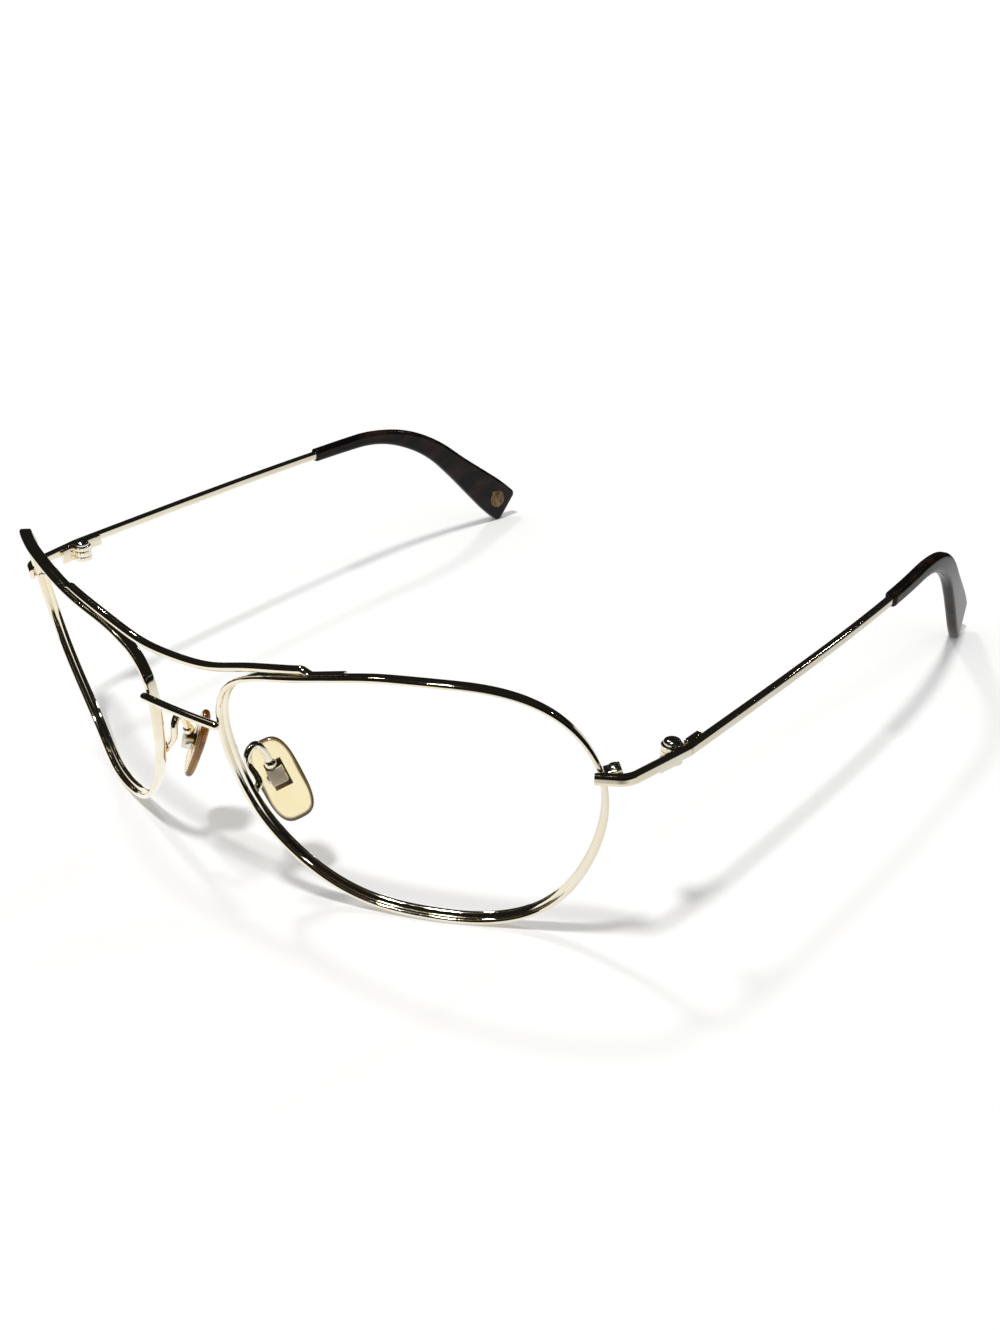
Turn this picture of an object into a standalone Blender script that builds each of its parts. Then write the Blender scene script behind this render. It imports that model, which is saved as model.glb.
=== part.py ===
"""Wire sunglasses frame, modelled as the pieces it is soldered and screwed together from.

Sizes are in millimetres and become metres where a mesh is made. The front of the frame
looks along -Y, the temples run back along +Y, Z is up and X = 0 is the mirror plane.
Heights are first measured from the lens centres; DROP_TO_TABLE then stands the frame on
Z = 0, on the bottoms of its rims and the lower corners of its temple tips.
Each piece is made for the wearer's left (+X) and mirrored to the right.
"""

import math

import bmesh
import bpy
import numpy as np
from mathutils import Matrix, Vector

for old in list(bpy.data.objects):
    bpy.data.objects.remove(old)

MM = 0.001

# Lens outline: radii from the lens centre at equal angles, counted from the temple side
# over the top, each as a share of half the lens width.
LENS_WIDE = 59.0
OUTLINE_SHAPE = (1.155, 1.025, 0.771, 0.638, 0.606, 0.686, 0.845,
                 0.824, 0.807, 0.829, 0.888, 0.961, 1.134, 1.158)
BRIDGE_WIDE = 16.0
LENS_SET_BACK = 0.67
WRAP_ANGLE = 21.2
FORWARD_TILT = 8.6
CURVE_RADIUS_ACROSS = 61.2
CURVE_RADIUS_UP = 75.9
CURVE_CENTRE_OUT = 4.8
CURVE_OPENING = -0.336
CURVE_OPENING_REACH = 28.65

# Rim wire: a flat wire on edge, with a groove for the lens on its inner side.
RIM_THICK = 0.9
RIM_DEEP = 2.2
RIM_CORNER = 0.3
GROOVE_WIDE = 0.8
GROOVE_DEEP = 0.32
RIM_STEPS = 72

SOLDER_GAP = 0.04
SPLIT_GAP = 0.3

# Closing block: two halves on the temple side of the rim, drawn together by a screw.
BLOCK_REACH = 2.5
BLOCK_DEEP = 2.0
BLOCK_UPPER_HIGH = 0.6
BLOCK_LOWER_HIGH = 1.4
BLOCK_SCREW_SHARE = 0.6
BLOCK_EDGE = 0.2
CLOSING_SCREW_D = 1.0
CLOSING_HEAD_D = 1.7
CLOSING_HEAD_H = 0.35

# Brow bar: a round wire from rim to rim, flattened where it lies on the rims.
BROW_D = 1.4
BROW_END_HEIGHT = 0.4
BROW_STEP_LONG = 1.1
BROW_LEAVES_RIM_AT = 110.0
BROW_ENDS_AT = 91.5
BROW_MID_FORWARD = 3.8
BROW_MID_HEIGHT = 13.85
BROW_SHOULDERS = ((7.6, -3.4, 14.1), (15.3, -3.1, 16.0))

BRIDGE_D = 1.4
BRIDGE_AT = 169.2
BRIDGE_LAP = 0.1
BRIDGE_FLAT = 0.15
BRIDGE_ARCH = 0.2

# Temple wire and endpiece share one flat section.
WIRE_WIDE = 1.4
WIRE_HIGH = 1.8
WIRE_CORNER = 0.5
TEMPLE_HEIGHT = 4.55
ENDPIECE_HEIGHT = 4.6
ENDPIECE_LAP = 1.75
ELBOW_OUT = 67.0
ELBOW_BACK = 19.2
JOINT_OUT = 69.25
JOINT_BACK = 31.75
ELBOW_RADIUS = 3.5
JOINT_GAP = 0.1

# Hinge: two ears on the endpiece, one knuckle on the temple, one domed screw.
HINGE_INSET = 2.45
HINGE_AHEAD = 0.55
KNUCKLE_D = 3.3
EAR_THICK = 0.8
KNUCKLE_THICK = 1.1
HINGE_RUNNING_GAP = 0.06
HINGE_TOP = 0.45
HINGE_SCREW_D = 1.2
HINGE_HEAD_D = 2.7
HINGE_HEAD_H = 1.0
HINGE_BORE_GAP = 0.1
HINGE_PLATE_THICK = 0.5
HINGE_PLATE_LONG = 3.6
HINGE_STEP = 0.08
LEAF_THICK = 0.9
LEAF_LONG = 3.6
LEAF_HIGH = 1.9
LEAF_DROP = 0.75
SLOT_WIDE = 0.4
SLOT_DEEP = 0.35

# Temple: nearly straight to the ear bend, then down to the tip.
TEMPLE_TO_BEND = 98.9
BEND_TO_END = 43.46
EAR_BEND_RADIUS = 43.9
EAR_DROP_ANGLE = 41.5
TEMPLE_BOW = ((0.0, 0.0), (35.0, 1.15), (69.0, 1.3), (83.0, 0.7), (97.0, -0.75), (133.0, -6.7))
TIP_START = 68.7
TIP_WALL_WIDE = 2.3
TIP_HEIGHTS = ((0.0, 2.9), (14.0, 3.1), (22.0, 3.3), (30.0, 4.2), (40.0, 5.0), (50.0, 6.1), (66.0, 9.3))
TIP_EDGE = 0.9
CORE_D = 1.0
CORE_GAP = 0.2
CORE_END_MARGIN = 9.0
PLAQUE_LONG = 5.0
PLAQUE_HIGH = 4.6
PLAQUE_THICK = 0.5
PLAQUE_PROUD = 0.15
PLAQUE_FROM_END = 4.8
PLAQUE_GAP = 0.06

# Nose pads: place from the nasal side of the rim, and the pad's own axes.
PAD_OUT = 1.7
PAD_BACK = 7.4
PAD_HEIGHT = -9.6
PAD_LONG_AXIS = (-0.505, -0.06, 0.86)
PAD_FRONT_AXIS = (0.63, -0.71, 0.32)
PAD_LONG = 14.2
PAD_WIDE = 7.2
PAD_THICK = 1.5
PAD_ROUND = 3.1
PAD_EDGE = ((-0.5, 1.2), (-0.42, 0.6), (-0.2, 0.12), (0.12, 0.0), (0.38, 0.15), (0.5, 0.45))
POCKET_GAP = 0.08
INSERT_LONG = 4.6
INSERT_WIDE = 2.9
INSERT_THICK = 0.7
BOSS_D = 1.24
BOSS_WIDE = 1.7
BOX_UP = 1.0
BOX_LONG = 2.6
BOX_WALL = 0.35
BOX_SIDE_GAP = 0.1
BOX_FLOOR_GAP = 0.3
BOX_HIGH = 1.6
PAD_SCREW_HEIGHT = 0.75
PAD_SCREW_D = 0.6
PAD_SCREW_GAP = 0.05
PAD_HEAD_D = 1.5
PAD_HEAD_H = 0.5
ARM_D = 1.25
ARM_BALL_D = 1.9
ARM_BALL_HEIGHT = 1.55
ARM_ROOT_AT = 200.5
ARM_BENDS = ((-0.7, -5.4, 3.9), (-1.3, -5.3, 6.7), (-1.05, -4.1, 7.65), (-0.65, -2.8, 6.3))

ROUND_STEPS = 20

# Finishes: colour, metallic and roughness.
PALE_GOLD = ((0.80, 0.73, 0.58, 1.0), 1.0, 0.12)
STEEL = ((0.72, 0.70, 0.66, 1.0), 1.0, 0.22)
DARK_ACETATE = ((0.012, 0.009, 0.010, 1.0), 0.0, 0.12)
CLEAR_AMBER = ((0.86, 0.76, 0.42, 1.0), 0.0, 0.15)
AGED_BRASS = ((0.42, 0.34, 0.20, 1.0), 1.0, 0.35)

parts = bpy.data.collections.new("sunglasses_frame")
bpy.context.scene.collection.children.link(parts)
tools = bpy.data.collections.new("cutters")
bpy.context.scene.collection.children.link(tools)

left = Matrix.Identity(4)
right = Matrix.Scale(-1.0, 4, (1.0, 0.0, 0.0))


def unit(vector):
    vector = np.asarray(vector, float)
    return vector / np.linalg.norm(vector)


def finish(name, look):
    """One Principled material for one piece."""
    colour, metallic, roughness = look
    material = bpy.data.materials.new(name + "_finish")
    material.use_nodes = True
    shader = material.node_tree.nodes["Principled BSDF"]
    shader.inputs["Base Color"].default_value = colour
    shader.inputs["Metallic"].default_value = metallic
    shader.inputs["Roughness"].default_value = roughness
    material.diffuse_color = colour
    return material


def spline(knots, values, at):
    """Natural cubic spline through values at knots, read at the given places."""
    knots = np.asarray(knots, float)
    values = np.asarray(values, float)
    step = np.diff(knots)
    count = len(knots)
    system = np.eye(count)
    slopes = np.diff(values, axis=0) / step.reshape(-1, *[1] * (values.ndim - 1))
    target = np.zeros_like(values)
    for i in range(1, count - 1):
        system[i, i - 1:i + 2] = step[i - 1], 2.0 * (step[i - 1] + step[i]), step[i]
        target[i] = 6.0 * (slopes[i] - slopes[i - 1])
    bend = np.linalg.solve(system, target)
    at = np.asarray(at, float)
    k = np.clip(np.searchsorted(knots, at) - 1, 0, count - 2)
    shape = (-1,) + (1,) * (values.ndim - 1)
    width = step[k].reshape(shape)
    far = (at - knots[k]).reshape(shape) / width
    near = 1.0 - far
    curve = (near ** 3 - near) * bend[k] + (far ** 3 - far) * bend[k + 1]
    return near * values[k] + far * values[k + 1] + curve * width ** 2 / 6.0


def smooth_path(points, count):
    """Evenly read smooth curve through points in space."""
    points = np.asarray(points, float)
    run = np.concatenate([[0.0], np.cumsum(np.linalg.norm(np.diff(points, axis=0), axis=1))])
    fine = spline(run, points, np.linspace(0.0, run[-1], 400))
    length = np.concatenate([[0.0], np.cumsum(np.linalg.norm(np.diff(fine, axis=0), axis=1))])
    even = np.linspace(0.0, length[-1], count)
    return np.stack([np.interp(even, length, fine[:, k]) for k in range(3)], axis=1)


def tangents(path):
    ahead = np.gradient(path, axis=0)
    return ahead / np.linalg.norm(ahead, axis=1)[:, None]


def outline_radius(angles):
    """The lens outline's radius at each angle, a closed cubic spline through its shape."""
    shape = np.asarray(OUTLINE_SHAPE) * LENS_WIDE / 2.0
    count = len(shape)
    step = 2.0 * math.pi / count
    ring = 4.0 * np.eye(count) + np.roll(np.eye(count), 1, 0) + np.roll(np.eye(count), -1, 0)
    bend = np.linalg.solve(ring, 6.0 * (np.roll(shape, 1) - 2.0 * shape + np.roll(shape, -1)))
    place = (angles / step) % count
    k = place.astype(int) % count
    following = (k + 1) % count
    far = place - np.floor(place)
    near = 1.0 - far
    curve = (near ** 3 - near) * bend[k] + (far ** 3 - far) * bend[following]
    return near * shape[k] + far * shape[following] + curve / 6.0


def lens_frame():
    """Outward, back and up axes of the tilted, wrapped lens."""
    wrap = math.radians(WRAP_ANGLE)
    tilt = math.radians(FORWARD_TILT)
    turn = np.array([[1.0, 0.0, 0.0],
                     [0.0, math.cos(tilt), -math.sin(tilt)],
                     [0.0, math.sin(tilt), math.cos(tilt)]])
    outward = turn @ np.array([math.cos(wrap), math.sin(wrap), 0.0])
    back = turn @ np.array([-math.sin(wrap), math.cos(wrap), 0.0])
    return outward, back, turn @ np.array([0.0, 0.0, 1.0])


LENS_OUT, LENS_BACK, LENS_UP = lens_frame()


def rim_station(angles):
    """Centre, outward axis and depth axis of the rim wire at angles in degrees."""
    turn = np.radians(np.atleast_1d(np.asarray(angles, float)))
    radius = outline_radius(turn)
    u = radius * np.cos(turn)
    v = radius * np.sin(turn)
    reach = (u - CURVE_CENTRE_OUT) / CURVE_OPENING_REACH
    sink = (u - CURVE_CENTRE_OUT) ** 2 / (2.0 * CURVE_RADIUS_ACROSS) + v ** 2 / (2.0 * CURVE_RADIUS_UP)
    sink += CURVE_OPENING * reach ** 3
    slope = ((u - CURVE_CENTRE_OUT) / CURVE_RADIUS_ACROSS
             + 3.0 * CURVE_OPENING * reach ** 2 / CURVE_OPENING_REACH)
    centre = u[:, None] * LENS_OUT + v[:, None] * LENS_UP + sink[:, None] * LENS_BACK
    depth = LENS_BACK - slope[:, None] * LENS_OUT - (v / CURVE_RADIUS_UP)[:, None] * LENS_UP
    depth /= np.linalg.norm(depth, axis=1)[:, None]
    return centre, depth


def rim_frame(angles):
    """Centre, outward, depth and running axes of the rim wire, with the lens in its place."""
    angles = np.atleast_1d(np.asarray(angles, float))
    centre, depth = rim_station(angles)
    ahead = rim_station(angles + 0.2)[0] - rim_station(angles - 0.2)[0]
    ahead /= np.linalg.norm(ahead, axis=1)[:, None]
    outward = np.cross(depth, ahead)
    outward /= np.linalg.norm(outward, axis=1)[:, None]
    ahead = np.cross(outward, depth)
    return centre + np.array([LENS_CENTRE_X, LENS_SET_BACK, 0.0]), outward, depth, ahead


NASAL_REACH = -rim_station(np.linspace(120.0, 240.0, 241))[0][:, 0].min()
LENS_CENTRE_X = BRIDGE_WIDE / 2.0 + NASAL_REACH


def angle_at_height(height):
    """Angle on the temple side at which the rim's centre line has this height."""
    angles = np.linspace(-30.0, 30.0, 601)
    return float(np.interp(height, rim_station(angles)[0][:, 2], angles))


def rounded_rectangle(wide, high, corner, arc=3):
    """Points of a rounded rectangle, anticlockwise, as a closed section."""
    points = []
    for quarter in range(4):
        x = (wide / 2.0 - corner) * (1, -1, -1, 1)[quarter]
        y = (high / 2.0 - corner) * (1, 1, -1, -1)[quarter]
        for k in range(arc):
            turn = math.pi / 2.0 * (quarter + k / (arc - 1))
            points.append((x + corner * math.cos(turn), y + corner * math.sin(turn)))
    return np.array(points)


def round_section(diameter, count=12):
    turn = np.arange(count) * 2.0 * math.pi / count + math.pi / count
    return np.stack([np.cos(turn), np.sin(turn)], axis=1) * diameter / 2.0


def rim_section():
    """Rim wire section: x is outward and y is depth, with the lens groove inside."""
    out, deep, corner = RIM_THICK / 2.0, RIM_DEEP / 2.0, RIM_CORNER
    lip = GROOVE_WIDE / 2.0
    return np.array([(out, -deep + corner), (out, deep - corner), (out - corner, deep),
                     (-out + corner, deep), (-out, deep - corner), (-out, lip),
                     (-out + GROOVE_DEEP, 0.0), (-out, -lip), (-out, -deep + corner),
                     (-out + corner, -deep), (out - corner, -deep)])


def place_section(section, centre, first, second):
    return centre + section[:, :1] * first + section[:, 1:] * second


def new_object(name, mesh, look, collection=parts):
    item = bpy.data.objects.new(name, mesh)
    collection.objects.link(item)
    if look:
        mesh.materials.append(finish(name, look))
        mesh.shade_smooth()
        mesh.set_sharp_from_angle(angle=math.radians(35.0))
    else:
        item.hide_render = True
        item.display_type = "WIRE"
    return item


def world(points):
    """Millimetres from the lens centres to metres above the table."""
    return (np.asarray(points, float) + PLACE) * MM


def loft(name, rings, look, collection=parts):
    """A closed body through rings of equally many points, with its two ends filled."""
    body = bmesh.new()
    rows = [[body.verts.new(point) for point in world(ring)] for ring in rings]
    count = len(rows[0])
    for row, following in zip(rows, rows[1:]):
        for k in range(count):
            after = (k + 1) % count
            body.faces.new((row[k], row[after], following[after], following[k]))
    body.faces.new(list(reversed(rows[0])))
    body.faces.new(rows[-1])
    bmesh.ops.recalc_face_normals(body, faces=body.faces)
    mesh = bpy.data.meshes.new(name)
    body.to_mesh(mesh)
    body.free()
    return new_object(name, mesh, look, collection)


def wire(name, path, diameter, look):
    """A round wire along a path, as a curve with filled ends."""
    curve = bpy.data.curves.new(name, "CURVE")
    curve.dimensions = "3D"
    curve.bevel_depth = diameter / 2.0 * MM
    curve.bevel_resolution = 2
    curve.use_fill_caps = True
    run = curve.splines.new("POLY")
    run.points.add(len(path) - 1)
    for point, place in zip(run.points, world(path)):
        point.co = (*place, 1.0)
    item = bpy.data.objects.new(name, curve)
    parts.objects.link(item)
    return as_mesh(item, look)


def as_mesh(item, look, through=left, name=None):
    """Replace or copy an object by its finished mesh, through a mirror if need be."""
    shown = item.evaluated_get(bpy.context.evaluated_depsgraph_get())
    mesh = bpy.data.meshes.new_from_object(shown)
    body = bmesh.new()
    body.from_mesh(mesh)
    bmesh.ops.remove_doubles(body, verts=body.verts, dist=1e-7)
    bmesh.ops.transform(body, matrix=through @ item.matrix_world, verts=body.verts)
    bmesh.ops.recalc_face_normals(body, faces=body.faces)
    body.to_mesh(mesh)
    body.free()
    mesh.materials.clear()
    if name is None:
        name = item.name
        bpy.data.objects.remove(item)
    return new_object(name, mesh, look)


def axes(first, second, third, centre):
    """Matrix that carries a local millimetre solid to three axes at a centre in the model."""
    matrix = Matrix.Identity(4)
    for column, axis in enumerate((first, second, third)):
        for row in range(3):
            matrix[row][column] = float(axis[row])
    return Matrix.Translation(Vector(world(centre))) @ matrix @ Matrix.Scale(MM, 4)


def solid(name, build, frame, look=None, edge=0.0):
    """A primitive built in local millimetres by build(body), then placed by a frame."""
    body = bmesh.new()
    build(body)
    if edge:
        bmesh.ops.bevel(body, geom=list(body.edges), offset=edge, segments=2, profile=0.5,
                        affect="EDGES", clamp_overlap=True)
    bmesh.ops.transform(body, matrix=frame, verts=body.verts)
    bmesh.ops.recalc_face_normals(body, faces=body.faces)
    mesh = bpy.data.meshes.new(name)
    body.to_mesh(mesh)
    body.free()
    return new_object(name, mesh, look, parts if look else tools)


def block(low, high):
    """Builder of a box between two corners."""
    size = np.subtract(high, low)
    middle = np.add(high, low) / 2.0

    def build(body):
        matrix = Matrix.Translation(Vector(middle)) @ Matrix.Diagonal((*size, 1.0))
        bmesh.ops.create_cube(body, size=1.0, matrix=matrix)
    return build


def cylinder(diameter, low, high, centre=(0.0, 0.0), steps=ROUND_STEPS):
    """Builder of an upright cylinder between two heights."""
    def build(body):
        matrix = Matrix.Translation((*centre, (low + high) / 2.0))
        bmesh.ops.create_cone(body, cap_ends=True, segments=steps, radius1=diameter / 2.0,
                              radius2=diameter / 2.0, depth=high - low, matrix=matrix)
    return build


def sphere(diameter):
    """Builder of a ball."""
    def build(body):
        bmesh.ops.create_uvsphere(body, u_segments=16, v_segments=10, radius=diameter / 2.0)
    return build


def combine(item, tool, operation):
    change = item.modifiers.new(operation.lower(), "BOOLEAN")
    change.operation = operation
    change.object = tool
    change.solver = "EXACT"


def screw(name, frame, head_d, head_h, shank_d, shank_long):
    """A domed, slotted screw: turned profile, head above z = 0 and shank below."""
    edge = head_h * 0.35
    dome = [(0.0, head_h)]
    for k in range(1, 4):
        turn = math.pi / 2.0 * k / 3.0
        dome.append((head_d / 2.0 * math.sin(turn), edge + (head_h - edge) * math.cos(turn)))
    profile = dome + [(head_d / 2.0, 0.0), (shank_d / 2.0, 0.0), (shank_d / 2.0, -shank_long),
                      (0.0, -shank_long)]
    body = bmesh.new()
    for x, z in profile:
        body.verts.new((x, 0.0, z))
    body.verts.ensure_lookup_table()
    for k in range(len(profile) - 1):
        body.edges.new((body.verts[k], body.verts[k + 1]))
    bmesh.ops.transform(body, matrix=Matrix.Scale(MM, 4), verts=body.verts)
    mesh = bpy.data.meshes.new(name)
    body.to_mesh(mesh)
    body.free()
    item = bpy.data.objects.new(name, mesh)
    parts.objects.link(item)
    turn = item.modifiers.new("turned", "SCREW")
    turn.steps = ROUND_STEPS
    turn.render_steps = ROUND_STEPS
    turn.use_merge_vertices = True
    turn.merge_threshold = 0.00001
    slot_floor = head_h - min(SLOT_DEEP, head_h / 2.0)
    slot = solid(name + "_slot", block((-head_d, -SLOT_WIDE / 2.0, slot_floor),
                                       (head_d, SLOT_WIDE / 2.0, head_h * 2.0)), Matrix.Scale(MM, 4))
    combine(item, slot, "DIFFERENCE")
    item.matrix_world = frame @ Matrix.Scale(1.0 / MM, 4)
    slot.matrix_world = frame @ Matrix.Scale(1.0 / MM, 4)
    bpy.context.view_layer.update()
    return as_mesh(item, STEEL)


def pair(item, look):
    """Rename a finished left piece and mirror it to the right."""
    name = item.name
    bpy.context.view_layer.update()
    twin = as_mesh(item, look, right, name.replace("_left", "_right"))
    return item, twin


SPLIT_ANGLE = angle_at_height(TEMPLE_HEIGHT - 0.2)
RIM_LENGTH_PER_DEGREE = np.linalg.norm(rim_station(SPLIT_ANGLE + 0.5)[0] - rim_station(SPLIT_ANGLE - 0.5)[0])
SPLIT_HALF = SPLIT_GAP / 2.0 / RIM_LENGTH_PER_DEGREE


def rim_rings():
    angles = np.linspace(SPLIT_ANGLE + SPLIT_HALF, SPLIT_ANGLE + 360.0 - SPLIT_HALF, RIM_STEPS)
    centre, outward, depth, _ = rim_frame(angles)
    section = rim_section()
    return [place_section(section, centre[k], outward[k], depth[k]) for k in range(RIM_STEPS)]


def split_frame():
    centre, outward, depth, ahead = rim_frame(SPLIT_ANGLE)
    return centre[0], outward[0], depth[0], ahead[0]


def joint_place():
    """Where the endpiece ends and the temple begins."""
    return np.array([JOINT_OUT, JOINT_BACK, TEMPLE_HEIGHT])


def temple_point(distance):
    """Temple centre line, by distance back from the joint along the unbent wire."""
    drop = math.radians(EAR_DROP_ANGLE)
    cut = EAR_BEND_RADIUS * math.tan(drop / 2.0)
    arc = EAR_BEND_RADIUS * drop
    start = TEMPLE_TO_BEND - cut
    bent = min(max(distance - start, 0.0), arc)
    turn = bent / EAR_BEND_RADIUS
    back = min(distance, start) + EAR_BEND_RADIUS * math.sin(turn)
    fall = EAR_BEND_RADIUS * (1.0 - math.cos(turn))
    rest = max(distance - start - arc, 0.0)
    back += rest * math.cos(drop)
    fall += rest * math.sin(drop)
    places, offsets = zip(*TEMPLE_BOW)
    out = float(spline(places, offsets, [back])[0])
    return joint_place() + np.array([out, back, -fall])


TEMPLE_LENGTH = TEMPLE_TO_BEND + BEND_TO_END - (
    2.0 * math.tan(math.radians(EAR_DROP_ANGLE) / 2.0) - math.radians(EAR_DROP_ANGLE)) * EAR_BEND_RADIUS


def temple_frames(distances):
    """Centre, outward and upward axes square to the temple's run."""
    centre = np.array([temple_point(d) for d in distances])
    ahead = np.array([unit(temple_point(d + 0.1) - temple_point(d - 0.1)) for d in distances])
    outward = np.cross(ahead, (0.0, 0.0, 1.0))
    outward /= np.linalg.norm(outward, axis=1)[:, None]
    return centre, outward, np.cross(outward, ahead)


def tip_height(distance):
    places, heights = zip(*TIP_HEIGHTS)
    return float(np.interp(distance - TIP_START, places, heights))


def tip_outer(distances):
    centre, outward, upward = temple_frames(distances)
    rings = []
    for k, distance in enumerate(distances):
        section = rounded_rectangle(TIP_WALL_WIDE, tip_height(distance), TIP_EDGE)
        rings.append(place_section(section, centre[k], outward[k], upward[k]))
    return rings


TIP_ENDS = TEMPLE_LENGTH
PLACE = np.zeros(3)
DROP_TO_TABLE = min(ring[:, 2].min() for ring in rim_rings())
BACK_EDGE = tip_outer([TIP_ENDS])[0][:, 1].max()
PLACE = np.array([0.0, (BROW_MID_FORWARD + BROW_D / 2.0 - BACK_EDGE) / 2.0, -DROP_TO_TABLE])


def make_rim():
    return loft("rim_left", rim_rings(), PALE_GOLD)


def make_brow_bar():
    """One wire over the bridge whose flattened ends lie along the tops of both rims."""
    angles = np.linspace(BROW_ENDS_AT, BROW_LEAVES_RIM_AT, 8)
    centre, outward, _, _ = rim_frame(angles)
    seated = centre + outward * (RIM_THICK / 2.0 + SOLDER_GAP + BROW_D / 2.0)
    half = [*seated, *[np.array(point) for point in reversed(BROW_SHOULDERS)]]
    middle = np.array([0.0, -BROW_MID_FORWARD, BROW_MID_HEIGHT])
    flip = np.array([-1.0, 1.0, 1.0])
    path = smooth_path([*half, middle, *[point * flip for point in reversed(half)]], 110)
    ahead = tangents(path)
    rings = []
    for point, along in zip(path, ahead):
        reach = abs(point[0])
        step = (seated[-1][0] - BROW_STEP_LONG, seated[-1][0])
        high = float(np.interp(reach, step, (BROW_D, BROW_END_HEIGHT)))
        back = unit(np.cross((0.0, 0.0, 1.0), along))
        up = np.cross(along, back)
        section = round_section(1.0) * (BROW_D, high)
        rings.append(place_section(section, point - up * (BROW_D - high) / 2.0, back, up))
    return loft("brow_bar", rings, PALE_GOLD)


def bridge_path():
    """Centre line of the bridge bar, whose ends lie across the fronts of both rims."""
    rim, _, depth, _ = (row[0] for row in rim_frame(BRIDGE_AT))
    end = rim - depth * (RIM_DEEP / 2.0 + SOLDER_GAP + BRIDGE_D / 2.0 - BRIDGE_FLAT) + (BRIDGE_LAP, 0.0, 0.0)
    middle = np.array([0.0, end[1] - BRIDGE_ARCH, end[2]])
    flip = np.array([-1.0, 1.0, 1.0])
    shoulder = (end + middle) / 2.0 - (0.0, BRIDGE_ARCH / 4.0, 0.0)
    return [end, shoulder, middle, shoulder * flip, end * flip]


def make_bridge_bar():
    path = smooth_path(bridge_path(), 17)
    item = wire("bridge_bar", path, BRIDGE_D, PALE_GOLD)
    level = ((1.0, 0.0, 0.0), (0.0, 1.0, 0.0), (0.0, 0.0, 1.0))
    for end, side in ((path[0], left), (path[-1], right)):
        combine(item, solid("bridge_end", sphere(BRIDGE_D), axes(*level, end)), "UNION")
        centre, outward, depth, ahead = (row[0] for row in rim_frame(BRIDGE_AT))
        room = block((-RIM_DEEP, -RIM_DEEP / 2.0 - SOLDER_GAP, -RIM_DEEP), (RIM_DEEP, RIM_DEEP, RIM_DEEP))
        seat = solid("bridge_seat", room, side @ axes(outward, depth, ahead, centre))
        combine(item, seat, "DIFFERENCE")
    return item


def endpiece_path():
    rim = split_frame()[0]
    end = joint_place() - (0.0, JOINT_GAP / 2.0, 0.0)
    start = np.array([rim[0], rim[1] - ENDPIECE_LAP, ENDPIECE_HEIGHT])
    elbow = np.array([ELBOW_OUT, ELBOW_BACK, ENDPIECE_HEIGHT])
    return rounded_corner(start, elbow, end, ELBOW_RADIUS, 9)


def make_endpiece():
    """The flat wire from the rim's front round the corner to the hinge joint."""
    rim, outward, depth, ahead = split_frame()
    path = endpiece_path()
    run = tangents(path)
    run[-1] = (0.0, 1.0, 0.0)
    rings = []
    for point, along in zip(path, run):
        out = unit(np.cross(along, (0.0, 0.0, 1.0)))
        section = rounded_rectangle(WIRE_WIDE, WIRE_HIGH, WIRE_CORNER)
        rings.append(place_section(section, point, out, np.cross(out, along)))
    item = loft("endpiece_left", rings, PALE_GOLD)
    seat = solid("endpiece_seat", block((-3.0, -RIM_DEEP / 2.0 - SOLDER_GAP, -3.0),
                                        (BLOCK_REACH + 1.0, RIM_DEEP, 4.0)),
                 axes(outward, depth, ahead, rim))
    combine(item, seat, "DIFFERENCE")
    return item


def rounded_corner(start, corner, end, radius, steps):
    """Straight, arc, straight, as points."""
    first, second = unit(corner - start), unit(end - corner)
    turn = math.acos(float(first @ second))
    cut = radius * math.tan(turn / 2.0)
    inward = unit(second - first)
    centre = corner + inward * radius / math.cos(turn / 2.0)
    points = [start, (start + corner - first * cut) / 2.0]
    for k in range(steps):
        share = turn * k / (steps - 1)
        away = (corner - first * cut - centre) * math.cos(share) + first * radius * math.sin(share)
        points.append(centre + away)
    points += [(corner + second * cut + end) / 2.0, end]
    return np.array(points)


def make_closing_block(name, low, high, bore):
    """Half of the closing block, soldered to the outer side of one rim end."""
    rim, outward, depth, ahead = split_frame()
    near = RIM_THICK / 2.0 + SOLDER_GAP
    frame = axes(outward, depth, ahead, rim)
    item = solid(name, block((near, -BLOCK_DEEP / 2.0 + 0.1, low),
                             (near + BLOCK_REACH, BLOCK_DEEP / 2.0 + 0.1, high)),
                 frame, PALE_GOLD, BLOCK_EDGE)
    hole = solid(name + "_bore", cylinder(bore, low - 1.0, high + 1.0,
                                          (near + BLOCK_REACH * BLOCK_SCREW_SHARE, 0.1)),
                 frame)
    combine(item, hole, "DIFFERENCE")
    return item


def make_closing_blocks():
    gap = 0.1
    bore = CLOSING_SCREW_D + 2.0 * HINGE_BORE_GAP
    upper = make_closing_block("closing_block_upper_left", gap, gap + BLOCK_UPPER_HIGH, bore)
    lower = make_closing_block("closing_block_lower_left", -gap - BLOCK_LOWER_HIGH, -gap, bore)
    rim, outward, depth, ahead = split_frame()
    seat = rim + outward * (RIM_THICK / 2.0 + SOLDER_GAP + BLOCK_REACH * BLOCK_SCREW_SHARE) + depth * 0.1
    seat = seat + ahead * (gap + BLOCK_UPPER_HIGH + SOLDER_GAP)
    turned = screw("closing_screw_left", axes(outward, depth, ahead, seat), CLOSING_HEAD_D, CLOSING_HEAD_H,
                   CLOSING_SCREW_D, 2.0 * gap + BLOCK_UPPER_HIGH + BLOCK_LOWER_HIGH)
    return upper, lower, turned


def hinge_pivot():
    """Point on the hinge's axis at the top of the upper ear."""
    return joint_place() + (-HINGE_INSET, -HINGE_AHEAD, HINGE_TOP)


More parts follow.
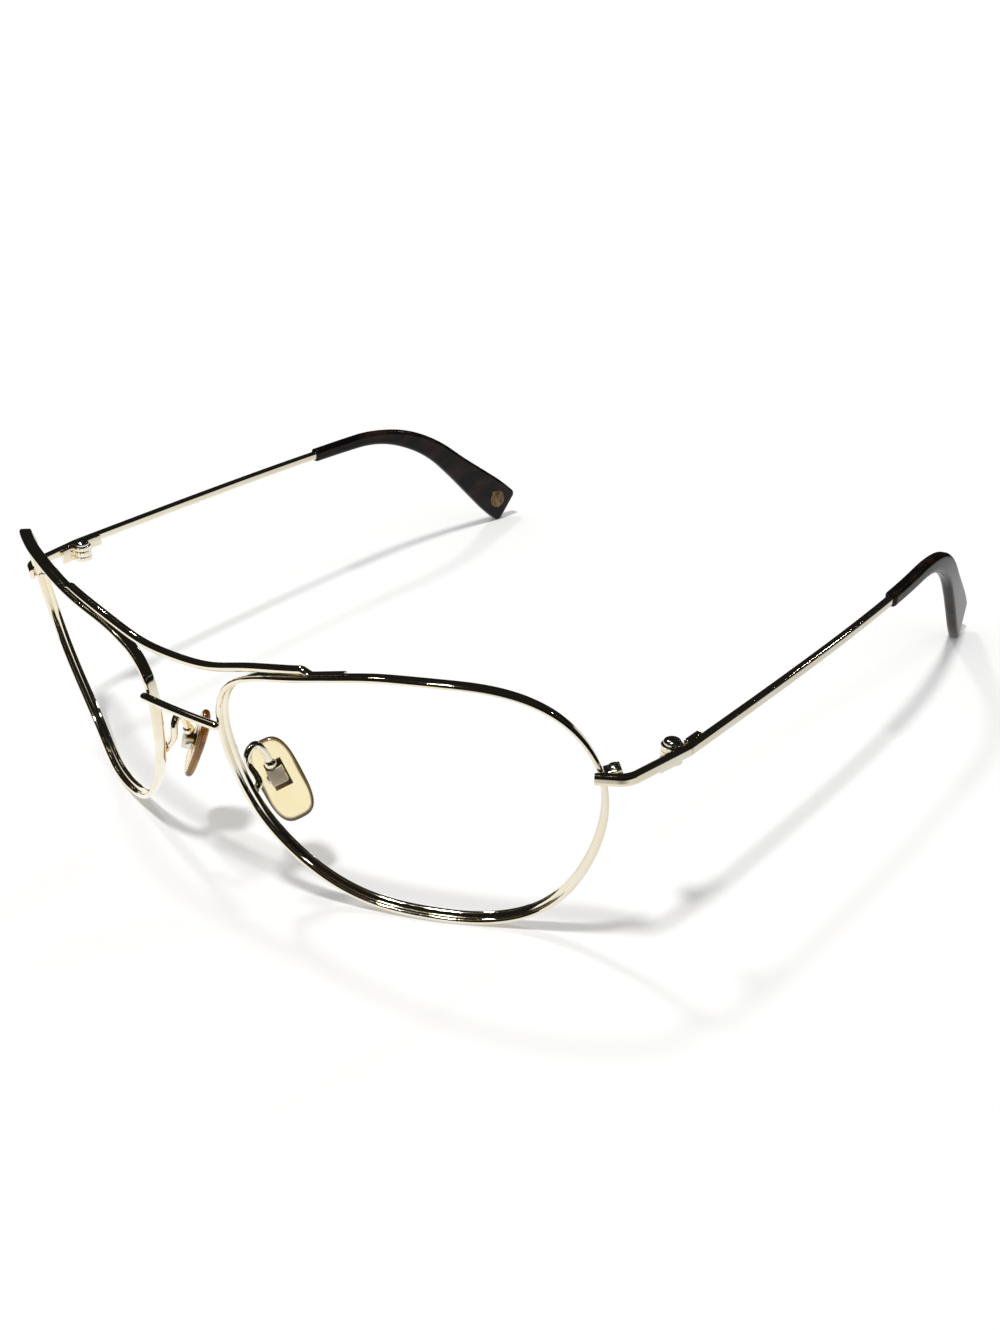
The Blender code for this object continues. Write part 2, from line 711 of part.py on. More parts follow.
def hinge_levels():
    """Heights of the hinge's faces below the top of the upper ear, from the top down."""
    upper = -EAR_THICK
    knuckle_top = upper - HINGE_RUNNING_GAP
    knuckle_low = knuckle_top - KNUCKLE_THICK
    lower = knuckle_low - HINGE_RUNNING_GAP
    return upper, knuckle_top, knuckle_low, lower, lower - EAR_THICK


def hinge_side(on_wire, along):
    """Axes through the pivot square to a wire, and the way from the pivot to the wire's face."""
    out = unit(np.cross(along, (0.0, 0.0, 1.0)))
    along = np.cross((0.0, 0.0, 1.0), out)
    face = float((on_wire - hinge_pivot()) @ out) - WIRE_WIDE / 2.0 - SOLDER_GAP
    return axes(out, along, (0.0, 0.0, 1.0), hinge_pivot()), face


def make_hinge_front():
    """Two ears and the plate that is soldered to the endpiece's inner side."""
    path = endpiece_path()
    frame, face = hinge_side(path[-2], path[-1] - path[-2])
    upper, _, _, lower, bottom = hinge_levels()
    item = solid("hinge_front_left", cylinder(KNUCKLE_D, bottom, 0.0), frame, PALE_GOLD)
    neck = solid("hinge_front_neck", block((0.0, -KNUCKLE_D * 0.46, bottom + HINGE_STEP),
                                           (face - HINGE_PLATE_THICK / 2.0, -KNUCKLE_D * 0.12,
                                            -HINGE_STEP)), frame)
    plate = solid("hinge_front_plate",
                  block((face - HINGE_PLATE_THICK, -KNUCKLE_D * 0.15 - HINGE_PLATE_LONG,
                         bottom + 2.0 * HINGE_STEP),
                        (face, -KNUCKLE_D * 0.15, -2.0 * HINGE_STEP)), frame)
    slot = solid("hinge_front_slot", cylinder(KNUCKLE_D + 4.0 * HINGE_RUNNING_GAP, lower, upper), frame)
    bore = solid("hinge_front_bore", cylinder(HINGE_SCREW_D + 2.0 * HINGE_BORE_GAP, bottom - 1.0, 1.0), frame)
    combine(item, neck, "UNION")
    combine(item, plate, "UNION")
    combine(item, slot, "DIFFERENCE")
    combine(item, bore, "DIFFERENCE")
    return item


def make_hinge_temple():
    """Middle knuckle, its arm and the leaf that is soldered to the temple's inner side."""
    frame, face = hinge_side(temple_point(LEAF_LONG), temple_point(LEAF_LONG) - temple_point(1.0))
    _, top, low, _, _ = hinge_levels()
    first = KNUCKLE_D / 2.0 + 0.15
    middle = -LEAF_DROP
    item = solid("hinge_temple_left", cylinder(KNUCKLE_D, low, top), frame, PALE_GOLD)
    arm = solid("hinge_temple_arm", block((KNUCKLE_D * 0.07, KNUCKLE_D * 0.11, low + HINGE_STEP),
                                          (face - LEAF_THICK / 2.0, first + 0.6, top - HINGE_STEP)), frame)
    leaf = solid("hinge_temple_leaf", block((face - LEAF_THICK, first, middle - LEAF_HIGH / 2.0),
                                            (face, first + LEAF_LONG, middle + LEAF_HIGH / 2.0)), frame)
    bore = solid("hinge_temple_bore", cylinder(HINGE_SCREW_D + 2.0 * HINGE_BORE_GAP, low - 1.0, top + 1.0),
                 frame)
    combine(item, arm, "UNION")
    combine(item, leaf, "UNION")
    combine(item, bore, "DIFFERENCE")
    return item


def make_hinge_screw():
    seat = hinge_pivot() + (0.0, 0.0, SOLDER_GAP)
    frame = axes((1.0, 0.0, 0.0), (0.0, 1.0, 0.0), (0.0, 0.0, 1.0), seat)
    return screw("hinge_screw_left", frame, HINGE_HEAD_D, HINGE_HEAD_H, HINGE_SCREW_D, -hinge_levels()[-1])


def make_temple():
    """Flat temple wire that steps down to the round core inside the tip."""
    outside = np.linspace(JOINT_GAP / 2.0, TIP_START, 16)
    core = np.linspace(TIP_START + 0.3, TIP_ENDS - CORE_END_MARGIN, 22)
    flat = rounded_rectangle(WIRE_WIDE, WIRE_HIGH, WIRE_CORNER)
    slim = round_section(CORE_D)
    rings = []
    for distances, section in ((outside, flat), (core, slim)):
        centre, outward, upward = temple_frames(distances)
        rings += [place_section(section, centre[k], outward[k], upward[k]) for k in range(len(distances))]
    rings[0][:, 1] = joint_place()[1] + JOINT_GAP / 2.0
    return loft("temple_wire_left", rings, PALE_GOLD)


def make_tip():
    """Temple tip, a paddle with a bore for the core; its mouth meets the flat wire."""
    mouth = TIP_START + 0.15
    core = np.linspace(TIP_ENDS - CORE_END_MARGIN + 1.0, mouth, 22)
    centre, outward, upward = temple_frames(core)
    bore = round_section(CORE_D + 2.0 * CORE_GAP)
    rings = [place_section(bore, centre[k], outward[k], upward[k]) for k in range(len(core))]
    rings += tip_outer(np.linspace(mouth, TIP_ENDS - TIP_EDGE, 30))
    ends = tip_outer([TIP_ENDS - TIP_EDGE * 0.35, TIP_ENDS])
    for ring, share in zip(ends, (0.93, 0.8)):
        middle = ring.mean(axis=0)
        rings.append(middle + (ring - middle) * share)
    item = loft("temple_tip_left", rings, DARK_ACETATE)
    pocket = solid("tip_pocket", plaque_shape(PLAQUE_GAP, 1.0), plaque_frame())
    combine(item, pocket, "DIFFERENCE")
    return item


def plaque_frame():
    """Axes on the inner face of the tip: x to its end, y up its face, z inward."""
    distance = TIP_ENDS - PLAQUE_FROM_END
    centre, outward, upward = temple_frames([distance])
    inward = -outward[0]
    along = np.cross(upward[0], inward)
    return axes(along, upward[0], inward, centre[0] + inward * TIP_WALL_WIDE / 2.0)


def plaque_shape(gap, proud):
    """Builder of an oval slab on the tip's inner face."""
    def build(body):
        middle = (proud - PLAQUE_THICK) / 2.0
        matrix = (Matrix.Translation((0.0, 0.0, middle))
                  @ Matrix.Diagonal((PLAQUE_LONG / 2.0 + gap, PLAQUE_HIGH / 2.0 + gap, 1.0, 1.0)))
        bmesh.ops.create_cone(body, cap_ends=True, segments=ROUND_STEPS, radius1=1.0, radius2=1.0,
                              depth=PLAQUE_THICK + proud, matrix=matrix)
    return build


def make_plaque():
    """Bare metal plaque let into the inner face of the tip."""
    frame = plaque_frame() @ Matrix.Translation((0.0, 0.0, PLAQUE_GAP))
    return solid("tip_plaque_left", plaque_shape(0.0, PLAQUE_PROUD), frame, AGED_BRASS)


def pad_axes():
    """Long, back and front axes of the pad, square to each other."""
    front = unit(PAD_FRONT_AXIS)
    upward = np.asarray(PAD_LONG_AXIS, float)
    upward = unit(upward - (upward @ front) * front)
    return upward, np.cross(upward, front), front


def pad_centre():
    return np.array([BRIDGE_WIDE / 2.0 + PAD_OUT, PAD_BACK, PAD_HEIGHT])


def pad_frame(up=0.0, front=0.0):
    """Local x along the pad, y across it and z to its front, at an offset from its centre."""
    upward, across, forward = pad_axes()
    return axes(upward, across, forward, pad_centre() + upward * up + forward * front)


def make_nose_pad():
    """A crowned, rounded pad with a pocket in its front for the insert."""
    turn = np.arange(28) * 2.0 * math.pi / 28
    power = 2.0 / PAD_ROUND
    shape = np.stack([np.sign(np.cos(turn)) * np.abs(np.cos(turn)) ** power,
                      np.sign(np.sin(turn)) * np.abs(np.sin(turn)) ** power], axis=1)
    upward, across, forward = pad_axes()
    rings = []
    for height, inset in PAD_EDGE:
        section = shape * (PAD_LONG / 2.0 - inset, PAD_WIDE / 2.0 - inset)
        rings.append(place_section(section, pad_centre() + forward * height * PAD_THICK, upward, across))
    item = loft("nose_pad_left", rings, CLEAR_AMBER)
    pocket = solid("pad_pocket", block((-INSERT_LONG / 2.0 - POCKET_GAP, -INSERT_WIDE / 2.0 - POCKET_GAP,
                                        -INSERT_THICK - POCKET_GAP),
                                       (INSERT_LONG / 2.0 + POCKET_GAP, INSERT_WIDE / 2.0 + POCKET_GAP, 1.0)),
                   pad_frame(BOX_UP, PAD_THICK / 2.0))
    combine(item, pocket, "DIFFERENCE")
    return item


def pad_screw_place():
    """Middle of the pad screw's axis, and axes with z along it towards the front."""
    upward, across, forward = pad_axes()
    place = pad_centre() + upward * BOX_UP + forward * (PAD_THICK / 2.0 + PAD_SCREW_HEIGHT)
    return place, (upward, forward, -across)


def make_pad_insert():
    """Plate let into the pad, with the drilled boss that the screw passes through."""
    frame = pad_frame(BOX_UP, PAD_THICK / 2.0)
    item = solid("pad_insert_left", block((-INSERT_LONG / 2.0, -INSERT_WIDE / 2.0, -INSERT_THICK),
                                          (INSERT_LONG / 2.0, INSERT_WIDE / 2.0, 0.0)), frame, AGED_BRASS)
    neck = solid("insert_neck", block((-BOSS_D * 0.4, -BOSS_WIDE / 2.0, -INSERT_THICK / 2.0),
                                      (BOSS_D * 0.4, BOSS_WIDE / 2.0, PAD_SCREW_HEIGHT)), frame)
    place, turned = pad_screw_place()
    around = axes(*turned, place)
    boss = solid("insert_boss", cylinder(BOSS_D, -BOSS_WIDE / 2.0 - 0.03, BOSS_WIDE / 2.0 + 0.03), around)
    hole = solid("insert_bore", cylinder(PAD_SCREW_D + 2.0 * PAD_SCREW_GAP, -3.0, 3.0), around)
    combine(item, neck, "UNION")
    combine(item, boss, "UNION")
    combine(item, hole, "DIFFERENCE")
    return item


def box_half_width():
    return BOSS_WIDE / 2.0 + BOX_SIDE_GAP + BOX_WALL


def make_pad_box():
    """Small folded cup on the arm's end, whose two walls hold the pad screw."""
    low = PAD_THICK / 2.0 + BOX_FLOOR_GAP
    high, half = low + BOX_HIGH, box_half_width()
    frame = pad_frame(BOX_UP, 0.0)
    item = solid("pad_box_left", block((-BOX_LONG / 2.0, -half, low), (BOX_LONG / 2.0, half, high)), frame,
                 PALE_GOLD)
    inside = solid("pad_box_inside", block((-BOX_LONG, -half + BOX_WALL, low - 1.0),
                                           (BOX_LONG, half - BOX_WALL, high - BOX_WALL)), frame)
    place, turned = pad_screw_place()
    hole = solid("pad_box_bore", cylinder(PAD_SCREW_D + 2.0 * PAD_SCREW_GAP, -3.0, 3.0), axes(*turned, place))
    combine(item, inside, "DIFFERENCE")
    combine(item, hole, "DIFFERENCE")
    return item


def make_pad_screw():
    """Screw across the box, its head on the front side."""
    place, turned = pad_screw_place()
    seat = place + turned[2] * (box_half_width() + SOLDER_GAP)
    return screw("pad_screw_left", axes(turned[0], turned[1], turned[2], seat), PAD_HEAD_D, PAD_HEAD_H,
                 PAD_SCREW_D,
                 2.0 * box_half_width() + SOLDER_GAP)


def make_pad_arm():
    """Bent wire from the back of the rim up and over to the pad box, ending in a ball."""
    centre, outward, depth, ahead = rim_frame(ARM_ROOT_AT)
    root = centre[0] + depth[0] * (RIM_DEEP / 2.0 + SOLDER_GAP)
    upward, across, forward = pad_axes()
    beyond = BOX_UP + BOX_LONG / 2.0 + SOLDER_GAP + ARM_BALL_D / 2.0
    ball = pad_centre() + upward * beyond + forward * (PAD_THICK / 2.0 + ARM_BALL_HEIGHT)
    bends = [pad_centre() + bend for bend in ARM_BENDS]
    path = smooth_path([root - depth[0] * 0.3, root + depth[0] * 0.5 + (0.0, 0.0, 0.3), *bends, ball], 30)
    item = wire("pad_arm_left", path, ARM_D, PALE_GOLD)
    knob = solid("pad_arm_ball", sphere(ARM_BALL_D), axes(upward, across, forward, ball))
    seat = solid("pad_arm_seat", block((-RIM_DEEP, -RIM_DEEP, -RIM_DEEP),
                                       (RIM_DEEP, RIM_DEEP / 2.0 + SOLDER_GAP, RIM_DEEP)),
                 axes(outward[0], depth[0], ahead[0], centre[0]))
    combine(item, knob, "UNION")
    combine(item, seat, "DIFFERENCE")
    return item


def build():
    made = {}
    makers = (make_rim, make_endpiece, make_hinge_front, make_hinge_temple, make_hinge_screw, make_temple,
              make_tip,
              make_plaque, make_nose_pad, make_pad_insert, make_pad_box, make_pad_screw, make_pad_arm)
    make_brow_bar()
    make_bridge_bar()
    for maker in makers:
        item = maker()
        made[item.name] = item
    for item in make_closing_blocks():
        made[item.name] = item
    bpy.context.view_layer.update()
    looks = {"temple_tip": DARK_ACETATE, "nose_pad": CLEAR_AMBER, "tip_plaque": AGED_BRASS,
             "pad_insert": AGED_BRASS, "hinge_screw": STEEL, "closing_screw": STEEL, "pad_screw": STEEL}
    for name, item in made.items():
        pair(item, looks.get(name.replace("_left", ""), PALE_GOLD))


build()
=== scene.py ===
import math

import bmesh
import bpy
import numpy as np
from mathutils import Matrix, Vector

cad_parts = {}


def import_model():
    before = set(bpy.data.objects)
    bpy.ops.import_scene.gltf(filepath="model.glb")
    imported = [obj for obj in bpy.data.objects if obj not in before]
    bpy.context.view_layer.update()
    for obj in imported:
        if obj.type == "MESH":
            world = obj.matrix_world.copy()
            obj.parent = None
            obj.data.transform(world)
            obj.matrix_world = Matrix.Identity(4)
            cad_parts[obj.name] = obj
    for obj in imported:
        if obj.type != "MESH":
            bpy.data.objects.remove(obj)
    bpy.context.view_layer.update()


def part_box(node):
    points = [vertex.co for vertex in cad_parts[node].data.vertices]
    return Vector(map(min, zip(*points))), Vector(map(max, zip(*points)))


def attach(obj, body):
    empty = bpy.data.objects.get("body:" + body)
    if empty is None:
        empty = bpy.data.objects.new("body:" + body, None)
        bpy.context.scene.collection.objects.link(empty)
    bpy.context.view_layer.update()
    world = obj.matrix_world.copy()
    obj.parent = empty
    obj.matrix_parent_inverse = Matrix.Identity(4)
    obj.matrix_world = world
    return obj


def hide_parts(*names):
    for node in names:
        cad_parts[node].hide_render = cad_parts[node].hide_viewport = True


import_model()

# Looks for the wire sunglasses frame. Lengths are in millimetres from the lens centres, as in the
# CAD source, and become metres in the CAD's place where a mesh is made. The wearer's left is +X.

MM = 0.001

# Sizes that the visible pieces share with the CAD.
LENS_WIDE = 59.0
OUTLINE_SHAPE = (1.155, 1.025, 0.771, 0.638, 0.606, 0.686, 0.845,
                 0.824, 0.807, 0.829, 0.888, 0.961, 1.134, 1.158)
BRIDGE_WIDE = 16.0
LENS_SET_BACK = 0.67
WRAP_ANGLE = 21.2
FORWARD_TILT = 8.6
CURVE_RADIUS_ACROSS = 61.2
CURVE_RADIUS_UP = 75.9
CURVE_CENTRE_OUT = 4.8
CURVE_OPENING = -0.336
CURVE_OPENING_REACH = 28.65
RIM_THICK = 0.9
RIM_DEEP = 2.2
RIM_CORNER = 0.42
GROOVE_WIDE = 0.8
GROOVE_DEEP = 0.32
SOLDER_GAP = 0.04
SPLIT_GAP = 0.3
SPLIT_BELOW_WIRE = 0.2
BLOCK_REACH = 2.5
BLOCK_DEEP = 2.0
BLOCK_UPPER_HIGH = 0.6
BLOCK_LOWER_HIGH = 1.4
BLOCK_SCREW_SHARE = 0.6
BLOCK_GAP = 0.1
BLOCK_SET_BACK = 0.1
BLOCK_EDGE = 0.18
CLOSING_SCREW_D = 1.0
CLOSING_HEAD_D = 1.7
CLOSING_HEAD_H = 0.35
BROW_D = 1.4
BROW_END_HEIGHT = 0.4
BROW_STEP_LONG = 1.1
BROW_LEAVES_RIM_AT = 110.0
BROW_ENDS_AT = 91.5
BROW_MID_FORWARD = 3.8
BROW_MID_HEIGHT = 13.85
BROW_SHOULDERS = ((7.6, -3.4, 14.1), (15.3, -3.1, 16.0))
BRIDGE_D = 1.4
BRIDGE_AT = 169.2
BRIDGE_LAP = 0.1
BRIDGE_FLAT = 0.15
BRIDGE_ARCH = 0.2
BRIDGE_SEAT = (RIM_DEEP, RIM_DEEP, RIM_DEEP)
WIRE_WIDE = 1.4
WIRE_HIGH = 1.8
WIRE_CORNER = 0.5
TEMPLE_HEIGHT = 4.55
ENDPIECE_HEIGHT = 4.6
ENDPIECE_LAP = 1.75
ELBOW_OUT = 67.0
ELBOW_BACK = 19.2
ELBOW_RADIUS = 3.5
ENDPIECE_SEAT = (BLOCK_REACH + 1.0, 3.0, 4.0)
JOINT_OUT = 69.25
JOINT_BACK = 31.75
JOINT_GAP = 0.1
HINGE_INSET = 2.45
HINGE_AHEAD = 0.55
KNUCKLE_D = 3.3
EAR_THICK = 0.8
KNUCKLE_THICK = 1.1
HINGE_RUNNING_GAP = 0.06
HINGE_TOP = 0.45
HINGE_SCREW_D = 1.2
HINGE_HEAD_D = 2.7
HINGE_HEAD_H = 1.0
HINGE_BORE_GAP = 0.1
HINGE_PLATE_THICK = 0.5
HINGE_PLATE_LONG = 3.6
HINGE_STEP = 0.08
HINGE_EDGE = 0.06
NECK_FRONT = -KNUCKLE_D * 0.46
NECK_BACK = -KNUCKLE_D * 0.12
PLATE_BACK = -KNUCKLE_D * 0.15
LEAF_THICK = 0.9
LEAF_LONG = 3.6
LEAF_HIGH = 1.9
LEAF_DROP = 0.75
LEAF_BEHIND_KNUCKLE = 0.15
ARM_START = (KNUCKLE_D * 0.07, KNUCKLE_D * 0.11)
ARM_ON_LEAF = 0.6
SLOT_WIDE = 0.4
SLOT_DEEP = 0.35
DOME_STARTS = 0.35
DOME_SHARE = 0.66
TEMPLE_TO_BEND = 98.9
BEND_TO_END = 43.46
EAR_BEND_RADIUS = 43.9
EAR_DROP_ANGLE = 41.5
TEMPLE_BOW = ((0.0, 0.0), (35.0, 1.15), (69.0, 1.3), (83.0, 0.7), (97.0, -0.75), (133.0, -6.7))
TIP_START = 68.7
TEMPLE_NEAR = 1.0
CORE_IN_TIP = 1.0
TIP_WALL_WIDE = 2.3
TIP_HEIGHTS = ((0.0, 2.9), (14.0, 3.1), (22.0, 3.3), (30.0, 4.2), (40.0, 5.0), (50.0, 6.1), (66.0, 9.3))
TIP_EDGE = 0.9
TIP_MOUTH = 0.15
TIP_MOUTH_LONG = 0.4
TIP_MOUTH_TAPER = ((0.0, 0.86), (0.08, 0.94), (0.2, 0.985))
TIP_END_TAPER = ((0.7, 0.99), (0.45, 0.965), (0.25, 0.93), (0.1, 0.885), (0.03, 0.84), (0.0, 0.8))
TIP_HEIGHT_EASE = 3.0
PLAQUE_LONG = 5.0
PLAQUE_HIGH = 4.6
PLAQUE_THICK = 0.5
PLAQUE_PROUD = 0.15
PLAQUE_FROM_END = 4.8
PLAQUE_GAP = 0.06
PLAQUE_EDGE = 0.12
PAD_OUT = 1.7
PAD_BACK = 7.4
PAD_HEIGHT = -9.6
PAD_LONG_AXIS = (-0.505, -0.06, 0.86)
PAD_FRONT_AXIS = (0.63, -0.71, 0.32)
PAD_LONG = 14.2
PAD_WIDE = 7.2
PAD_THICK = 1.5
# How far in from the pad's outline its painted edge shade reaches, and over how much it fades, in
# millimetres.
PAD_SHADE_REACH = 0.75
PAD_SHADE_FADE = 0.3
PAD_ROUND = 3.1
PAD_EDGE = ((-0.5, 1.2), (-0.42, 0.6), (-0.2, 0.12), (0.12, 0.0), (0.38, 0.15), (0.5, 0.45))
PAD_EDGE_EASE = 0.04
PAD_LEVELS = ((-0.5, -0.4, 5), (-0.36, 0.34, 9), (0.38, 0.5, 6))
PAD_FACE_RINGS = (0.15, 0.3, 0.45)
POCKET_GAP = 0.08
INSERT_LONG = 4.6
INSERT_WIDE = 2.9
INSERT_THICK = 0.7
INSERT_EDGE = 0.04
BOSS_D = 1.24
BOSS_WIDE = 1.7
BOSS_NECK = BOSS_D * 0.4
BOSS_PROUD = 0.03
BOX_UP = 1.0
BOX_LONG = 2.6
BOX_WALL = 0.35
BOX_SIDE_GAP = 0.1
BOX_FLOOR_GAP = 0.3
BOX_HIGH = 1.6
BOX_EDGE = 0.1
PAD_SCREW_HEIGHT = 0.75
PAD_SCREW_D = 0.6
PAD_SCREW_GAP = 0.05
BORE_REACH = 3.0
PAD_HEAD_D = 1.5
PAD_HEAD_H = 0.5
ARM_D = 1.25
ARM_BALL_D = 1.9
ARM_BALL_HEIGHT = 1.55
ARM_ROOT_AT = 200.5
ARM_ROOT_SUNK = 0.3
ARM_LEAVES_AT = 0.5
ARM_LEAVES_UP = 0.3
ARM_BENDS = ((-0.7, -5.4, 3.9), (-1.3, -5.3, 6.7), (-1.05, -4.1, 7.65), (-0.65, -2.8, 6.3))
ARM_SIDE = (0.3, 0.1, 1.0)
CUT_BEYOND = 1.0
JOIN, CUT = "UNION", "DIFFERENCE"

# Fineness: points along a path, steps round a section, and angles between faces in degrees.
CURVE_READINGS = 400
RIM_POINTS = 320
RIM_STEP = 0.2
BROW_POINTS = 240
BROW_SEATED_POINTS = 8
BRIDGE_POINTS = 80
ELBOW_POINTS = 25
TEMPLE_POINTS = 110
TEMPLE_STEP = 0.1
TIP_POINTS = 150
ARM_POINTS = 120
PAD_RING_POINTS = 96
ROUND_STEPS = 56
FLAT_CORNER_STEPS = 5
TIP_CORNER_STEPS = 8
ROUND_CORNER_STEPS = 9
SHARP_ANGLE = 40.0
BROKEN_ANGLE = 35.0

# A section's points beyond this share of its width are on its inner side. Its least flat is in metres.
INNER_SIDE = -0.49
LEAST_FLAT = 0.00005

# The CAD stands the frame on the floor and centres it: the endpiece's end and top say where.
ENDPIECE_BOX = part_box("endpiece_left")
PLACE = np.array([0.0, ENDPIECE_BOX[1].y / MM - JOINT_BACK + JOINT_GAP / 2.0,
                  ENDPIECE_BOX[1].z / MM - ENDPIECE_HEIGHT - WIRE_HIGH / 2.0])

SIDES = (("left", Matrix.Identity(4)), ("right", Matrix.Scale(-1.0, 4, (1.0, 0.0, 0.0))))
MIRROR = np.array([-1.0, 1.0, 1.0])


# ---- paths and places ----

def unit(vectors):
    """Vectors, one or in rows, brought to length one."""
    vectors = np.asarray(vectors, float)
    return vectors / np.linalg.norm(vectors, axis=-1, keepdims=True)


def world(points):
    """Millimetres from the lens centres to metres in the CAD's place."""
    return (np.asarray(points, float) + PLACE) * MM


def spline(knots, values, at):
    """Natural cubic spline through values at knots, read at the given places."""
    knots, values, at = (np.asarray(x, float) for x in (knots, values, at))
    step = np.diff(knots)
    count = len(knots)
    system = np.eye(count)
    slopes = np.diff(values, axis=0) / step.reshape(-1, *[1] * (values.ndim - 1))
    target = np.zeros_like(values)
    for i in range(1, count - 1):
        system[i, i - 1:i + 2] = step[i - 1], 2.0 * (step[i - 1] + step[i]), step[i]
        target[i] = 6.0 * (slopes[i] - slopes[i - 1])
    bend = np.linalg.solve(system, target)
    k = np.clip(np.searchsorted(knots, at) - 1, 0, count - 2)
    shape = (-1,) + (1,) * (values.ndim - 1)
    width = step[k].reshape(shape)
    far = (at - knots[k]).reshape(shape) / width
    near = 1.0 - far
    curve = (near ** 3 - near) * bend[k] + (far ** 3 - far) * bend[k + 1]
    return near * values[k] + far * values[k + 1] + curve * width ** 2 / 6.0


def smooth_path(points, count):
    """Evenly read smooth curve through points in space."""
    points = np.asarray(points, float)
    run = np.concatenate([[0.0], np.cumsum(np.linalg.norm(np.diff(points, axis=0), axis=1))])
    fine = spline(run, points, np.linspace(0.0, run[-1], CURVE_READINGS))
    length = np.concatenate([[0.0], np.cumsum(np.linalg.norm(np.diff(fine, axis=0), axis=1))])
    even = np.linspace(0.0, length[-1], count)
    return np.stack([np.interp(even, length, fine[:, k]) for k in range(3)], axis=1)


def tangents(path):
    return unit(np.gradient(path, axis=0))


def level_axes(ahead):
    """Level outward axes and the upward axes square to the ways ahead."""
    outward = unit(np.cross(ahead, (0.0, 0.0, 1.0)))
    return outward, np.cross(outward, ahead)


def outline_radius(angles):
    """The lens outline's radius at each angle, a closed cubic spline through its shape."""
    shape = np.asarray(OUTLINE_SHAPE) * LENS_WIDE / 2.0
    count = len(shape)
    step = 2.0 * math.pi / count
    ring = 4.0 * np.eye(count) + np.roll(np.eye(count), 1, 0) + np.roll(np.eye(count), -1, 0)
    bend = np.linalg.solve(ring, 6.0 * (np.roll(shape, 1) - 2.0 * shape + np.roll(shape, -1)))
    place = (angles / step) % count
    k = place.astype(int) % count
    following = (k + 1) % count
    far = place - np.floor(place)
    near = 1.0 - far
    curve = (near ** 3 - near) * bend[k] + (far ** 3 - far) * bend[following]
    return near * shape[k] + far * shape[following] + curve / 6.0


def lens_axes():
    """Outward, back and up axes of the tilted, wrapped lens."""
    wrap, tilt = math.radians(WRAP_ANGLE), math.radians(FORWARD_TILT)
    turn = np.array([[1.0, 0.0, 0.0],
                     [0.0, math.cos(tilt), -math.sin(tilt)],
                     [0.0, math.sin(tilt), math.cos(tilt)]])
    return (turn @ (math.cos(wrap), math.sin(wrap), 0.0),
            turn @ (-math.sin(wrap), math.cos(wrap), 0.0),
            turn @ (0.0, 0.0, 1.0))


LENS_OUT, LENS_BACK, LENS_UP = lens_axes()


def rim_station(angles):
    """Centre and depth axis of the rim wire at angles in degrees, from the lens centre."""
    turn = np.radians(np.atleast_1d(np.asarray(angles, float)))
    radius = outline_radius(turn)
    u, v = radius * np.cos(turn), radius * np.sin(turn)
    out = u - CURVE_CENTRE_OUT
    reach = out / CURVE_OPENING_REACH
    sink = (out ** 2 / (2.0 * CURVE_RADIUS_ACROSS) + v ** 2 / (2.0 * CURVE_RADIUS_UP)
            + CURVE_OPENING * reach ** 3)
    slope = out / CURVE_RADIUS_ACROSS + 3.0 * CURVE_OPENING * reach ** 2 / CURVE_OPENING_REACH
    centre = u[:, None] * LENS_OUT + v[:, None] * LENS_UP + sink[:, None] * LENS_BACK
    depth = LENS_BACK - slope[:, None] * LENS_OUT - (v / CURVE_RADIUS_UP)[:, None] * LENS_UP
    return centre, unit(depth)


LENS_CENTRE_X = BRIDGE_WIDE / 2.0 - rim_station(np.linspace(120.0, 240.0, 241))[0][:, 0].min()


def rim_frame(angles):
    """Centre, outward, depth and running axes of the rim wire, with the lens in its place."""
    angles = np.atleast_1d(np.asarray(angles, float))
    centre, depth = rim_station(angles)
    ahead = rim_station(angles + RIM_STEP)[0] - rim_station(angles - RIM_STEP)[0]
    outward = unit(np.cross(depth, ahead))
    return centre + (LENS_CENTRE_X, LENS_SET_BACK, 0.0), outward, depth, np.cross(outward, depth)


def angle_at_height(height):
    """Angle on the temple side at which the rim's centre line has this height."""
    angles = np.linspace(-30.0, 30.0, 601)
    return float(np.interp(height, rim_station(angles)[0][:, 2], angles))


SPLIT_ANGLE = angle_at_height(TEMPLE_HEIGHT - SPLIT_BELOW_WIRE)
RIM_LENGTH_PER_DEGREE = np.linalg.norm(rim_station(SPLIT_ANGLE + 0.5)[0] - rim_station(SPLIT_ANGLE - 0.5)[0])
SPLIT_HALF = SPLIT_GAP / 2.0 / RIM_LENGTH_PER_DEGREE


def split_frame():
    """Rim centre and axes where the rim is split and closed."""
    return [row[0] for row in rim_frame(SPLIT_ANGLE)]


def joint_place():
    """Where the endpiece ends and the temple begins."""
    return np.array([JOINT_OUT, JOINT_BACK, TEMPLE_HEIGHT])


def temple_point(distance):
    """Temple centre line, by distance back from the joint along the unbent wire."""
    drop = math.radians(EAR_DROP_ANGLE)
    start = TEMPLE_TO_BEND - EAR_BEND_RADIUS * math.tan(drop / 2.0)
    arc = EAR_BEND_RADIUS * drop
    turn = min(max(distance - start, 0.0), arc) / EAR_BEND_RADIUS
    rest = max(distance - start - arc, 0.0)
    back = min(distance, start) + EAR_BEND_RADIUS * math.sin(turn) + rest * math.cos(drop)
    fall = EAR_BEND_RADIUS * (1.0 - math.cos(turn)) + rest * math.sin(drop)
    places, offsets = zip(*TEMPLE_BOW)
    return joint_place() + (float(spline(places, offsets, [back])[0]), back, -fall)


TEMPLE_LENGTH = TEMPLE_TO_BEND + BEND_TO_END - (
    2.0 * math.tan(math.radians(EAR_DROP_ANGLE) / 2.0) - math.radians(EAR_DROP_ANGLE)) * EAR_BEND_RADIUS


